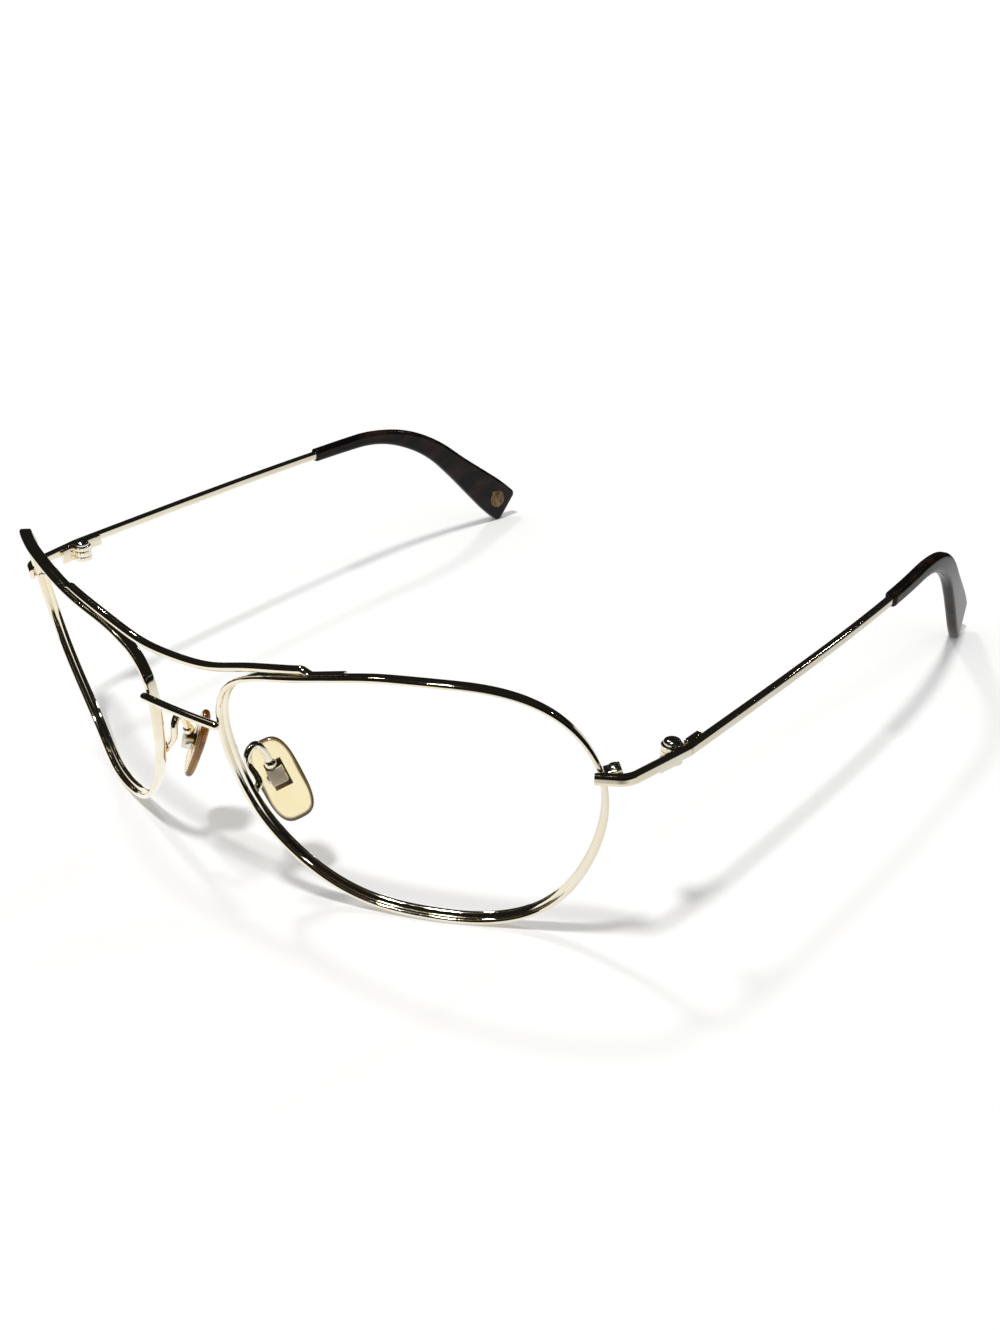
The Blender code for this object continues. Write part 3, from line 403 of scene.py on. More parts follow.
def temple_frames(distances):
    """Centre, outward and upward axes square to the temple's run."""
    centre = np.array([temple_point(d) for d in distances])
    ahead = unit([temple_point(d + TEMPLE_STEP) - temple_point(d - TEMPLE_STEP) for d in distances])
    return centre, *level_axes(ahead)


def rounded_corner(start, corner, end, radius, steps):
    """Straight, arc, straight, as points."""
    first, second = unit(corner - start), unit(end - corner)
    turn = math.acos(float(first @ second))
    cut = radius * math.tan(turn / 2.0)
    centre = corner + unit(second - first) * radius / math.cos(turn / 2.0)
    bends = corner - first * cut
    share = np.linspace(0.0, turn, steps)[:, None]
    arc = centre + (bends - centre) * np.cos(share) + first * radius * np.sin(share)
    return np.array([start, (start + bends) / 2.0, *arc, (corner + second * cut + end) / 2.0, end])


def endpiece_path():
    """Middle of the wire from the rim's front round the elbow to the joint."""
    across, back, _ = split_frame()[0]
    start = np.array([across, back - ENDPIECE_LAP, ENDPIECE_HEIGHT])
    elbow = np.array([ELBOW_OUT, ELBOW_BACK, ENDPIECE_HEIGHT])
    end = joint_place() - (0.0, JOINT_GAP / 2.0, 0.0)
    return rounded_corner(start, elbow, end, ELBOW_RADIUS, ELBOW_POINTS)


def axes(first, second, third, centre):
    """Matrix that carries a local millimetre solid to three axes at a centre in the model."""
    turn = Matrix(np.column_stack((first, second, third)).tolist()).to_4x4()
    return Matrix.Translation(Vector(world(centre))) @ turn @ Matrix.Scale(MM, 4)


def upright(centre):
    """Axes that stand straight at a centre in the model."""
    return axes(*np.eye(3), centre)


def pad_axes():
    """Long, back and front axes of the pad, square to each other."""
    front = unit(PAD_FRONT_AXIS)
    upward = np.asarray(PAD_LONG_AXIS, float)
    upward = unit(upward - (upward @ front) * front)
    return upward, np.cross(upward, front), front


def pad_centre():
    return np.array([BRIDGE_WIDE / 2.0 + PAD_OUT, PAD_BACK, PAD_HEIGHT])


def pad_frame(up=0.0, front=0.0):
    """Local x along the pad, y across it and z to its front, at an offset from its centre."""
    upward, across, forward = pad_axes()
    return axes(upward, across, forward, pad_centre() + upward * up + forward * front)


def pad_screw_place():
    """Middle of the pad screw's axis, and axes with z along it towards the front."""
    upward, across, forward = pad_axes()
    place = pad_centre() + upward * BOX_UP + forward * (PAD_THICK / 2.0 + PAD_SCREW_HEIGHT)
    return place, (upward, forward, -across)


def box_half_width():
    return BOSS_WIDE / 2.0 + BOX_SIDE_GAP + BOX_WALL


def hinge_pivot():
    """Point on the hinge's axis at the top of the upper ear."""
    return joint_place() + (-HINGE_INSET, -HINGE_AHEAD, HINGE_TOP)


def hinge_levels():
    """Heights of the hinge's faces below the top of the upper ear, from the top down."""
    upper = -EAR_THICK
    knuckle_top = upper - HINGE_RUNNING_GAP
    knuckle_low = knuckle_top - KNUCKLE_THICK
    lower = knuckle_low - HINGE_RUNNING_GAP
    return upper, knuckle_top, knuckle_low, lower, lower - EAR_THICK


def hinge_side(on_wire, along):
    """Axes through the pivot square to a wire, and the way from the pivot to the wire's face."""
    out = unit(np.cross(along, (0.0, 0.0, 1.0)))
    along = np.cross((0.0, 0.0, 1.0), out)
    face = float((on_wire - hinge_pivot()) @ out) - WIRE_WIDE / 2.0 - SOLDER_GAP
    return axes(out, along, (0.0, 0.0, 1.0), hinge_pivot()), face


# ---- finishes ----

# How strongly the clear pads colour the light that passes through them, per metre.
PAD_DENSITY = 350.0


class Wiring:
    """A node tree that is wired up step by step."""

    def __init__(self, tree):
        self.nodes, self.links = tree.nodes, tree.links

    def put(self, value, socket):
        """Link another node's output to a socket, or set a value on it."""
        if isinstance(value, bpy.types.NodeSocket):
            self.links.new(value, socket)
        else:
            socket.default_value = value

    def node(self, kind, inputs=(), **settings):
        """A new node, with its inputs given in their order or by name."""
        node = self.nodes.new(kind)
        for key, value in settings.items():
            setattr(node, key, value)
        for key, value in inputs.items() if isinstance(inputs, dict) else enumerate(inputs):
            self.put(value, node.inputs[key])
        return node

    def add(self, kind, inputs=(), **settings):
        """The first output of a new node."""
        return self.node(kind, inputs, **settings).outputs[0]

    def sum(self, operation, *values):
        return self.add("ShaderNodeMath", values, operation=operation)


class Finish(Wiring):
    """A material for the pieces."""

    def __init__(self, name):
        self.material = bpy.data.materials.new(name)
        self.material.use_nodes = True
        super().__init__(self.material.node_tree)
        self.shader = self.nodes["Principled BSDF"]
        self.place = self.node("ShaderNodeTexCoord").outputs["Object"]

    def give(self, **values):
        """Set or link the shader's inputs."""
        for key, value in values.items():
            self.put(value, self.shader.inputs[key.replace("_", " ")])

    def noise(self, size, detail=3.0, roughness=0.5, stretch=(1.0, 1.0, 1.0)):
        """Noise whose features are about this many millimetres across."""
        place = self.add("ShaderNodeMapping", {"Vector": self.place, "Scale": stretch})
        return self.add("ShaderNodeTexNoise", {"Vector": place, "Scale": 1.0 / (size * MM),
                                               "Detail": detail, "Roughness": roughness})

    def between(self, factor, low, high, low_at=0.3, high_at=0.7):
        """A number that runs from low to high as the factor runs across its band."""
        return self.add("ShaderNodeMapRange", (factor, low_at, high_at, low, high))

    def blend_of(self, factor, first, second):
        node = self.node("ShaderNodeMix", {"Factor": factor}, data_type="RGBA")
        for key, value in (("A", first), ("B", second)):
            socket = [s for s in node.inputs if s.name == key and s.type == "RGBA"][0]
            self.put(value if isinstance(value, bpy.types.NodeSocket) else (*value, 1.0), socket)
        return [s for s in node.outputs if s.type == "RGBA"][0]

    def relief(self, height, depth):
        """Bumps of this depth in millimetres."""
        return self.add("ShaderNodeBump", {"Height": height, "Distance": depth * MM, "Strength": 1.0})


def plated_finish(name, pale, deep, polish, wave=0.004):
    """Polished plate: slight waviness from buffing, hairline wear and faint yellowing."""
    made = Finish(name)
    buffing = made.noise(2.2, 2.0)
    hairlines = made.noise(0.12, 2.0, 0.6, (1.0, 0.25, 1.0))
    toning = made.between(made.noise(6.0, 3.0, 0.6), 0.0, 1.0, 0.35, 0.68)
    height = made.sum("ADD", buffing, made.between(hairlines, 0.0, 0.12))
    made.give(Base_Color=made.blend_of(toning, pale, deep), Metallic=1.0,
              Roughness=made.between(made.noise(0.7, 4.0, 0.65), *polish),
              Normal=made.relief(height, wave))
    return made.material


def acetate_finish(name, dark, warm):
    """Polished dark acetate with a faint brown cloud inside and fine handling marks."""
    made = Finish(name)
    cloud = made.between(made.noise(4.0, 3.0, 0.55, (1.0, 0.45, 1.0)), 0.0, 1.0, 0.42, 0.7)
    made.give(Base_Color=made.blend_of(cloud, dark, warm), IOR=1.46, Specular_IOR_Level=0.2,
              Roughness=made.between(made.noise(0.5, 4.0, 0.6), 0.08, 0.2),
              Normal=made.relief(made.noise(1.4), 0.004))
    return made.material


def clear_pad_finish(name, clear, yellowed, shade_colour, inside):
    """Soft clear pad, yellowed a little unevenly with age, with painted shade near its outline where the
    rounded edge looks dark, and dulled by wear.
    """
    made = Finish(name)
    age = made.between(made.noise(3.0, 2.0), 0.0, 1.0, 0.3, 0.72)
    # Painted shade: the colour darkens towards the outline, where the pad's rounded edge looks dark.
    edge = made.node("ShaderNodeAttribute", attribute_name="painted_pad_shade").outputs["Fac"]
    made.give(Base_Color=made.blend_of(edge, made.blend_of(age, clear, yellowed), shade_colour),
              Roughness=made.between(made.noise(0.6, 4.0), 0.08, 0.16),
              Normal=made.relief(made.noise(1.8), 0.006),
              IOR=1.43, Transmission_Weight=0.95, Specular_IOR_Level=0.35)
    body = made.add("ShaderNodeVolumeAbsorption", {"Color": (*inside, 1.0), "Density": PAD_DENSITY})
    made.put(body, made.nodes["Material Output"].inputs["Volume"])
    return made.material


def dull_brass_finish(name, pale, deep):
    """Unpolished brass, darkened in patches."""
    made = Finish(name)
    patches = made.between(made.noise(1.3, 4.0, 0.65), 0.0, 1.0, 0.35, 0.65)
    made.give(Base_Color=made.blend_of(patches, pale, deep), Metallic=1.0,
              Roughness=made.between(made.noise(0.4), 0.26, 0.48),
              Normal=made.relief(made.noise(0.25), 0.004))
    return made.material


PALE_GOLD = plated_finish("polished_pale_gold", (0.93, 0.88, 0.75), (0.90, 0.80, 0.60), (0.04, 0.09))
SATIN_GOLD = plated_finish("satin_pale_gold", (0.95, 0.88, 0.74), (0.92, 0.80, 0.60), (0.5, 0.6))
SCREW_STEEL = plated_finish("screw_steel", (0.78, 0.76, 0.72), (0.66, 0.63, 0.58), (0.08, 0.18), 0.002)
DARK_ACETATE = acetate_finish("dark_acetate", (0.004, 0.003, 0.003), (0.028, 0.014, 0.010))
# Each pad's fourth colour is painted shade at its outline, nearly black on this pad.
CLEAR_PAD = clear_pad_finish("clear_pad", (1.0, 0.97, 0.90), (1.0, 0.94, 0.79), (0.07, 0.035, 0.010),
                             (0.97, 0.84, 0.25))
# A darker, more golden copy of the pad finish for the right pad: painted shade for the grazing view through
# it. Its outline shade is lighter and browner.
SHADED_PAD_COPY = clear_pad_finish("shaded_pad_copy", (1.0, 0.88, 0.60), (0.95, 0.74, 0.38), (0.30, 0.21, 0.09),
                            (0.97, 0.82, 0.25))
DULL_BRASS = dull_brass_finish("dull_brass", (0.26, 0.18, 0.10), (0.10, 0.06, 0.03))


# ---- makers of meshes ----

def add_object(name, data):
    item = bpy.data.objects.new(name, data)
    bpy.context.scene.collection.objects.link(item)
    return item


def mesh_of(body, name):
    """A bmesh as a mesh with its faces turned outward."""
    bmesh.ops.recalc_face_normals(body, faces=body.faces)
    mesh = bpy.data.meshes.new(name)
    body.to_mesh(mesh)
    body.free()
    return mesh


def solid_mesh(item, name):
    """The evaluated object as a plain, merged mesh. The object itself is removed."""
    bpy.context.view_layer.update()
    mesh = bpy.data.meshes.new_from_object(item.evaluated_get(bpy.context.evaluated_depsgraph_get()))
    mesh.transform(item.matrix_world)
    bpy.data.objects.remove(item)
    body = bmesh.new()
    body.from_mesh(mesh)
    bmesh.ops.remove_doubles(body, verts=body.verts, dist=1e-7)
    bmesh.ops.recalc_face_normals(body, faces=body.faces)
    body.to_mesh(mesh)
    body.free()
    mesh.name = name
    return mesh


def dress(mesh, finish):
    mesh.materials.clear()
    mesh.materials.append(finish)
    mesh.shade_smooth()
    mesh.set_sharp_from_angle(angle=math.radians(SHARP_ANGLE))
    return mesh


def fit(item, name, body):
    """Let an object ride on a body and stand for the CAD node of its name."""
    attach(item, body)
    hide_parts(name)


def fit_pair(mesh, name, bodies, finish):
    """The left mesh and its mirror image, each standing for the CAD node of its side."""
    dress(mesh, finish)
    for side, mirror in SIDES:
        copy = mesh.copy()
        if side == "right":
            copy.transform(mirror)
            copy.flip_normals()
        body = bodies if bodies == "front" else bodies + "_" + side
        fit(add_object(name + "_piece_" + side, copy), name + "_" + side, body)


def fit_one(mesh, name, finish):
    """A mesh on the front, standing for the CAD node of its name."""
    fit(add_object(name + "_piece", dress(mesh, finish)), name, "front")


class Maker(Wiring):
    """A Geometry Nodes tree with named size inputs."""

    def __init__(self, name, **sizes):
        self.group = bpy.data.node_groups.new(name, "GeometryNodeTree")
        face = self.group.interface
        for way in ("INPUT", "OUTPUT"):
            face.new_socket("Geometry", in_out=way, socket_type="NodeSocketGeometry")
        for kind, labels in sizes.items():
            for label in labels:
                face.new_socket(label, in_out="INPUT", socket_type="NodeSocket" + kind)
        super().__init__(self.group)
        self.entry = self.nodes.new("NodeGroupInput").outputs

    def node(self, kind, inputs=(), **settings):
        kind = kind if kind.startswith("ShaderNode") else "GeometryNode" + kind
        return super().node(kind, inputs, **settings)

    def place(self):
        return self.add("InputPosition")

    def times(self, first, second):
        return self.sum("MULTIPLY", first, second)

    def vector(self, **parts):
        return self.add("ShaderNodeCombineXYZ", parts)

    def parts(self, vector):
        return self.node("ShaderNodeSeparateXYZ", (vector,)).outputs

    def vectors(self, operation, *values, **named):
        node = self.node("ShaderNodeVectorMath", {**dict(enumerate(values)), **named}, operation=operation)
        return node.outputs["Value" if operation == "DOT_PRODUCT" else "Vector"]

    def attribute(self, name, kind="FLOAT_VECTOR"):
        return self.add("InputNamedAttribute", (name,), data_type=kind)

    def end(self, geometry):
        whole = self.add("RealizeInstances", {"Geometry": geometry})
        dressed = self.add("SetMaterial", {"Geometry": whole, "Material": self.entry["Finish"]})
        self.links.new(dressed, self.nodes.new("NodeGroupOutput").inputs["Geometry"])
        return self.group


def run_tree(group, mesh, name, values):
    """Run a tree on a mesh and give back what it makes as a plain mesh."""
    item = add_object(name, mesh)
    change = item.modifiers.new("made", "NODES")
    change.node_group = group
    for socket in group.interface.items_tree:
        if socket.in_out == "INPUT" and socket.name in values:
            change[socket.identifier] = values[socket.name]
    return solid_mesh(item, name)


def drawn_wire_tree():
    """A wire with a rounded rectangular section, drawn along a path. Each path point carries the
    section's outward and upward axes, its share of the height, extra height and taper. A groove
    may run along the inner side."""
    tree = Maker("drawn_wire", Float=("Wide", "High", "Corner", "Groove Wide", "Groove Deep"),
                 Int=("Corner Steps",), Material=("Finish",))
    size = tree.entry
    section = tree.add("CurvePrimitiveQuadrilateral", {"Width": size["Wide"], "Height": size["High"]})
    section = tree.add("FilletCurve", {"Curve": section, "Count": size["Corner Steps"],
                                       "Radius": size["Corner"], "Limit Radius": True}, mode="POLY")
    section = tree.add("SubdivideCurve", {"Curve": section, "Cuts": 5})
    spot = tree.parts(tree.place())
    inner = tree.sum("LESS_THAN", spot["X"], tree.times(size["Wide"], INNER_SIDE))
    aside = tree.sum("ABSOLUTE", spot["Y"])
    reach = tree.sum("DIVIDE", aside, tree.times(size["Groove Wide"], 0.5))
    depth = tree.sum("MAXIMUM", tree.sum("SUBTRACT", 1.0, reach), 0.0)
    sink = tree.times(tree.times(depth, size["Groove Deep"]), inner)
    section = tree.add("SetPosition", {"Geometry": section, "Offset": tree.vector(X=sink)})
    run = tree.add("MeshToCurve", {"Mesh": size["Geometry"]})
    run = tree.add("SetCurveNormal", {"Curve": run, "Normal": tree.attribute("outward")}, mode="FREE")
    body = tree.add("CurveToMesh", {"Curve": run, "Profile Curve": section, "Fill Caps": True})
    centre = tree.attribute("centre")
    upward = tree.attribute("upward")
    away = tree.vectors("SUBTRACT", tree.place(), centre)
    rise = tree.vectors("DOT_PRODUCT", away, upward)
    half = tree.times(size["High"], 0.5)
    flat = tree.sum("MAXIMUM", tree.sum("SUBTRACT", half, size["Corner"]), LEAST_FLAT)
    part = tree.sum("MAXIMUM", tree.sum("MINIMUM", tree.sum("DIVIDE", rise, flat), 1.0), -1.0)
    grown = tree.times(part, tree.attribute("growth", "FLOAT"))
    pressed = tree.times(rise, tree.sum("SUBTRACT", tree.attribute("share", "FLOAT"), 1.0))
    lift = tree.vectors("SCALE", upward, Scale=tree.sum("ADD", pressed, grown))
    away = tree.vectors("SCALE", tree.vectors("ADD", away, lift), Scale=tree.attribute("taper", "FLOAT"))
    place = tree.vectors("ADD", centre, away)
    return tree.end(tree.add("SetPosition", {"Geometry": body, "Position": place}))


def turned_screw_tree():
    """A domed screw with a slot: head above z = 0 and shank below."""
    tree = Maker("turned_screw", Material=("Finish",), Float=(
        "Head Wide", "Head High", "Slot Wide", "Slot Deep", "Shank Wide", "Shank Long"))
    size = tree.entry
    head = tree.add("MeshCylinder", {"Vertices": 48, "Side Segments": 14, "Fill Segments": 1,
                                     "Radius": tree.times(size["Head Wide"], 0.5),
                                     "Depth": size["Head High"]})
    spot = tree.parts(tree.place())
    rise = tree.sum("ADD", tree.sum("DIVIDE", spot["Z"], size["Head High"]), 0.5)
    over = tree.sum("SUBTRACT", rise, DOME_STARTS)
    over = tree.sum("MAXIMUM", tree.sum("DIVIDE", over, DOME_SHARE), 0.0)
    shrink = tree.sum("SQRT", tree.sum("SUBTRACT", 1.0, tree.times(over, over)))
    moved = tree.vector(X=tree.times(spot["X"], shrink), Y=tree.times(spot["Y"], shrink),
                        Z=tree.times(rise, size["Head High"]))
    head = tree.add("SetPosition", {"Geometry": head, "Position": moved})
    slot = tree.vector(X=tree.times(size["Head Wide"], 2.0), Y=size["Slot Wide"],
                       Z=tree.times(size["Slot Deep"], 2.0))
    slot = tree.add("Transform", {"Geometry": tree.add("MeshCube", {"Size": slot}),
                                  "Translation": tree.vector(Z=size["Head High"])})
    head = tree.add("MeshBoolean", {"Mesh 1": head, "Mesh 2": slot}, operation="DIFFERENCE", solver="EXACT")
    shank = tree.add("MeshCylinder", {"Vertices": 32, "Side Segments": 1, "Fill Segments": 1,
                                      "Radius": tree.times(size["Shank Wide"], 0.5),
                                      "Depth": size["Shank Long"]})
    shank = tree.add("Transform", {"Geometry": shank, "Translation": tree.vector(
        Z=tree.times(size["Shank Long"], -0.5))})
    both = tree.node("JoinGeometry")
    for part in (head, shank):
        tree.links.new(part, both.inputs["Geometry"])
    return tree.end(both.outputs["Geometry"])


DRAWN_WIRE = drawn_wire_tree()
TURNED_SCREW = turned_screw_tree()


def path_mesh(name, path, outward, upward, share=1.0, growth=0.0, taper=1.0):
    """Path points joined in a row, with what the wire tree reads at each of them."""
    count = len(path)
    mesh = bpy.data.meshes.new(name)
    points = world(path)
    mesh.from_pydata([tuple(p) for p in points], [(k, k + 1) for k in range(count - 1)], [])
    for label, values in (("centre", points), ("outward", outward), ("upward", upward)):
        layer = mesh.attributes.new(label, "FLOAT_VECTOR", "POINT")
        layer.data.foreach_set("vector", np.asarray(values, np.float32).ravel())
    for label, values in (("share", share), ("growth", growth), ("taper", taper)):
        layer = mesh.attributes.new(label, "FLOAT", "POINT")
        layer.data.foreach_set("value", np.broadcast_to(np.asarray(values, np.float32), count).copy())
    return mesh


def draw_wire(name, path, outward, upward, wide, high, corner, finish, steps=4, groove=(0.4, 0.0), **shape):
    """A wire through a path's points, in millimetres."""
    sizes = in_metres({"Wide": wide, "High": high, "Corner": corner,
                       "Groove Wide": groove[0], "Groove Deep": groove[1]})
    mesh = path_mesh(name, path, outward, upward, **shape)
    return run_tree(DRAWN_WIRE, mesh, name, {**sizes, "Corner Steps": steps, "Finish": finish})


def round_wire(name, path, outward, upward, diameter, **shape):
    return draw_wire(name, path, outward, upward, diameter, diameter, diameter / 2.0, PALE_GOLD,
                     ROUND_CORNER_STEPS, **shape)


def flat_wire(name, joint_end, path, outward, upward):
    """The flat wire of endpiece and temple, its end at the joint square to the frame."""
    outward[joint_end], upward[joint_end] = (1.0, 0.0, 0.0), (0.0, 0.0, 1.0)
    return draw_wire(name, path, outward, upward, WIRE_WIDE, WIRE_HIGH, WIRE_CORNER, PALE_GOLD,
                     FLAT_CORNER_STEPS)


def in_metres(sizes):
    return {label: size * MM for label, size in sizes.items()}


def fit_screws(name, place, head_wide, head_high, shank_wide, shank_long):
    """The pair of a screw from its left place, in millimetres."""
    sizes = in_metres({"Head Wide": head_wide, "Head High": head_high, "Slot Wide": SLOT_WIDE,
                       "Slot Deep": min(SLOT_DEEP, head_high / 2.0),
                       "Shank Wide": shank_wide, "Shank Long": shank_long})
    mesh = run_tree(TURNED_SCREW, bpy.data.meshes.new(name), name, {**sizes, "Finish": SCREW_STEEL})
    mesh.transform(place @ Matrix.Scale(1.0 / MM, 4))
    fit_pair(mesh, name, "front", SCREW_STEEL)


def shaped(build, place):
    """An object from a builder in local millimetres."""
    body = bmesh.new()
    build(body)
    bmesh.ops.transform(body, matrix=place, verts=body.verts)
    return add_object("shape", mesh_of(body, "shape"))


def block(low, high):
    """Builder of a box between two corners."""
    size, middle = np.subtract(high, low), np.add(high, low) / 2.0
    place = Matrix.Translation(Vector(middle)) @ Matrix.Diagonal((*size, 1.0))
    return lambda body: bmesh.ops.create_cube(body, size=1.0, matrix=place)


def cylinder(diameter, low, high, centre=(0.0, 0.0)):
    """Builder of an upright cylinder between two heights."""
    return lambda body: bmesh.ops.create_cone(
        body, cap_ends=True, segments=ROUND_STEPS, radius1=diameter / 2.0, radius2=diameter / 2.0,
        depth=high - low, matrix=Matrix.Translation((*centre, (low + high) / 2.0)))


def drill(diameter, low, high, centre=(0.0, 0.0)):
    """Builder of a cutter that runs a little beyond both heights."""
    return cylinder(diameter, low - CUT_BEYOND, high + CUT_BEYOND, centre)


def ball(diameter):
    """Builder of a ball."""
    return lambda body: bmesh.ops.create_uvsphere(body, u_segments=40, v_segments=24, radius=diameter / 2.0)


def machined(name, base, changes, place=None, edge=0.0):
    """A base, built or drawn, that others join and cut in turn, each at the base's place or at its
    own, with its edges broken at the end."""
    base = shaped(base, place) if callable(base) else add_object(name, base)
    tools = []
    for operation, build, *own in changes:
        tools.append(shaped(build, own[0] if own else place))
        change = base.modifiers.new(operation.lower(), "BOOLEAN")
        change.operation, change.object, change.solver = operation, tools[-1], "EXACT"
    if edge:
        change = base.modifiers.new("edge", "BEVEL")
        change.width, change.segments = edge * MM, 3
        change.limit_method, change.angle_limit = "ANGLE", math.radians(BROKEN_ANGLE)
    mesh = solid_mesh(base, name)
    for tool in tools:
        bpy.data.objects.remove(tool)
    return mesh


# ---- the pieces ----

def fit_rims():
    """Flat wire on edge round each lens, grooved inside, split on the temple side."""
    angles = np.linspace(SPLIT_ANGLE + SPLIT_HALF, SPLIT_ANGLE + 360.0 - SPLIT_HALF, RIM_POINTS)
    centre, outward, depth, _ = rim_frame(angles)
    mesh = draw_wire("rim", centre, outward, depth, RIM_THICK, RIM_DEEP, RIM_CORNER, PALE_GOLD,
                     groove=(GROOVE_WIDE, GROOVE_DEEP))
    fit_pair(mesh, "rim", "front", PALE_GOLD)


def rim_seat(beyond, near, above):
    """Builder of the room that a piece on the rim's front leaves for the rim."""
    return block((-near, -RIM_DEEP / 2.0 - SOLDER_GAP, -near), (beyond, RIM_DEEP, above))


def fit_brow_bar():
    """Round wire over the bridge, flattened where it lies on the rims."""
    centre, outward, _, _ = rim_frame(np.linspace(BROW_ENDS_AT, BROW_LEAVES_RIM_AT, BROW_SEATED_POINTS))
    seated = centre + outward * (RIM_THICK / 2.0 + SOLDER_GAP + BROW_D / 2.0)
    half = [*seated, *[np.array(point) for point in reversed(BROW_SHOULDERS)]]
    middle = np.array([0.0, -BROW_MID_FORWARD, BROW_MID_HEIGHT])
    path = smooth_path([*half, middle, *[point * MIRROR for point in reversed(half)]], BROW_POINTS)
    outward, upward = level_axes(tangents(path))
    step = (seated[-1][0] - BROW_STEP_LONG, seated[-1][0])
    share = np.interp(np.abs(path[:, 0]), step, (1.0, BROW_END_HEIGHT / BROW_D))
    path = path - upward * ((1.0 - share) * BROW_D / 2.0)[:, None]
    mesh = round_wire("brow_bar", path, -outward, upward, BROW_D, share=share)
    fit_one(mesh, "brow_bar", PALE_GOLD)


def fit_bridge_bar():
    """Round bar whose ends lie across the fronts of both rims."""
    rim, outward, depth, ahead = (row[0] for row in rim_frame(BRIDGE_AT))
    end = rim - depth * (RIM_DEEP / 2.0 + SOLDER_GAP + BRIDGE_D / 2.0 - BRIDGE_FLAT) + (BRIDGE_LAP, 0.0, 0.0)
    middle = np.array([0.0, end[1] - BRIDGE_ARCH, end[2]])
    shoulder = (end + middle) / 2.0 - (0.0, BRIDGE_ARCH / 4.0, 0.0)
    path = smooth_path([end, shoulder, middle, shoulder * MIRROR, end * MIRROR], BRIDGE_POINTS)
    outs, ups = level_axes(tangents(path))
    mesh = round_wire("bridge_bar", path, -outs, ups, BRIDGE_D)
    changes = []
    for point, (_, mirror) in zip((path[0], path[-1]), SIDES):
        changes += [(JOIN, ball(BRIDGE_D), upright(point)),
                    (CUT, rim_seat(*BRIDGE_SEAT), mirror @ axes(outward, depth, ahead, rim))]
    fit_one(machined("bridge_bar", mesh, changes), "bridge_bar", PALE_GOLD)


def fit_endpieces():
    """Flat wire from the rim's front round the corner to the joint."""
    rim, outward, depth, ahead = split_frame()
    path = endpiece_path()
    mesh = flat_wire("endpiece", -1, path, *level_axes(tangents(path)))
    seat = (CUT, rim_seat(*ENDPIECE_SEAT), axes(outward, depth, ahead, rim))
    mesh = machined("endpiece", mesh, [seat])
    fit_pair(mesh, "endpiece", "front", PALE_GOLD)


def fit_closing_blocks():
    """Two halves that close the rim, drawn together by a screw."""
    rim, outward, depth, ahead = split_frame()
    place = axes(outward, depth, ahead, rim)
    near = RIM_THICK / 2.0 + SOLDER_GAP
    front, back = BLOCK_SET_BACK - BLOCK_DEEP / 2.0, BLOCK_SET_BACK + BLOCK_DEEP / 2.0
    bore_at = near + BLOCK_REACH * BLOCK_SCREW_SHARE
    for name, low, high in (("closing_block_upper", BLOCK_GAP, BLOCK_GAP + BLOCK_UPPER_HIGH),
                            ("closing_block_lower", -BLOCK_GAP - BLOCK_LOWER_HIGH, -BLOCK_GAP)):
        bore = drill(CLOSING_SCREW_D + 2.0 * HINGE_BORE_GAP, low, high, (bore_at, BLOCK_SET_BACK))
        mesh = machined(name, block((near, front, low), (near + BLOCK_REACH, back, high)),
                        [(CUT, bore)], place, BLOCK_EDGE)
        fit_pair(mesh, name, "front", PALE_GOLD)
    top = BLOCK_GAP + BLOCK_UPPER_HIGH
    seat = rim + outward * bore_at + depth * BLOCK_SET_BACK + ahead * (top + SOLDER_GAP)
    fit_screws("closing_screw", axes(outward, depth, ahead, seat), CLOSING_HEAD_D, CLOSING_HEAD_H,
               CLOSING_SCREW_D, top + BLOCK_GAP + BLOCK_LOWER_HIGH)


def fit_hinges():
    """Two ears on the endpiece, one knuckle on the temple, and the domed screw."""
    path = endpiece_path()
    upper, knuckle_top, knuckle_low, lower, bottom = hinge_levels()
    bore_d = HINGE_SCREW_D + 2.0 * HINGE_BORE_GAP
    place, face = hinge_side(path[-2], path[-1] - path[-2])
    neck = block((0.0, NECK_FRONT, bottom + HINGE_STEP),
                 (face - HINGE_PLATE_THICK / 2.0, NECK_BACK, -HINGE_STEP))
    plate = block((face - HINGE_PLATE_THICK, PLATE_BACK - HINGE_PLATE_LONG, bottom + 2.0 * HINGE_STEP),
                  (face, PLATE_BACK, -2.0 * HINGE_STEP))
    slot = cylinder(KNUCKLE_D + 4.0 * HINGE_RUNNING_GAP, lower, upper)
    mesh = machined("hinge_front", cylinder(KNUCKLE_D, bottom, 0.0), [
        (JOIN, neck), (JOIN, plate), (CUT, slot),
        (CUT, drill(bore_d, bottom, 0.0))], place, HINGE_EDGE)
    fit_pair(mesh, "hinge_front", "front", PALE_GOLD)

    place, face = hinge_side(temple_point(LEAF_LONG), temple_point(LEAF_LONG) - temple_point(TEMPLE_NEAR))
    first = KNUCKLE_D / 2.0 + LEAF_BEHIND_KNUCKLE
    arm = block((*ARM_START, knuckle_low + HINGE_STEP),
                (face - LEAF_THICK / 2.0, first + ARM_ON_LEAF, knuckle_top - HINGE_STEP))
    leaf = block((face - LEAF_THICK, first, -LEAF_DROP - LEAF_HIGH / 2.0),
                 (face, first + LEAF_LONG, -LEAF_DROP + LEAF_HIGH / 2.0))
    mesh = machined("hinge_temple", cylinder(KNUCKLE_D, knuckle_low, knuckle_top), [
        (JOIN, arm), (JOIN, leaf),
        (CUT, drill(bore_d, knuckle_low, knuckle_top))], place, HINGE_EDGE)
    fit_pair(mesh, "hinge_temple", "temple", PALE_GOLD)

    seat = upright(hinge_pivot() + (0.0, 0.0, SOLDER_GAP))
    fit_screws("hinge_screw", seat, HINGE_HEAD_D, HINGE_HEAD_H, HINGE_SCREW_D, -bottom)


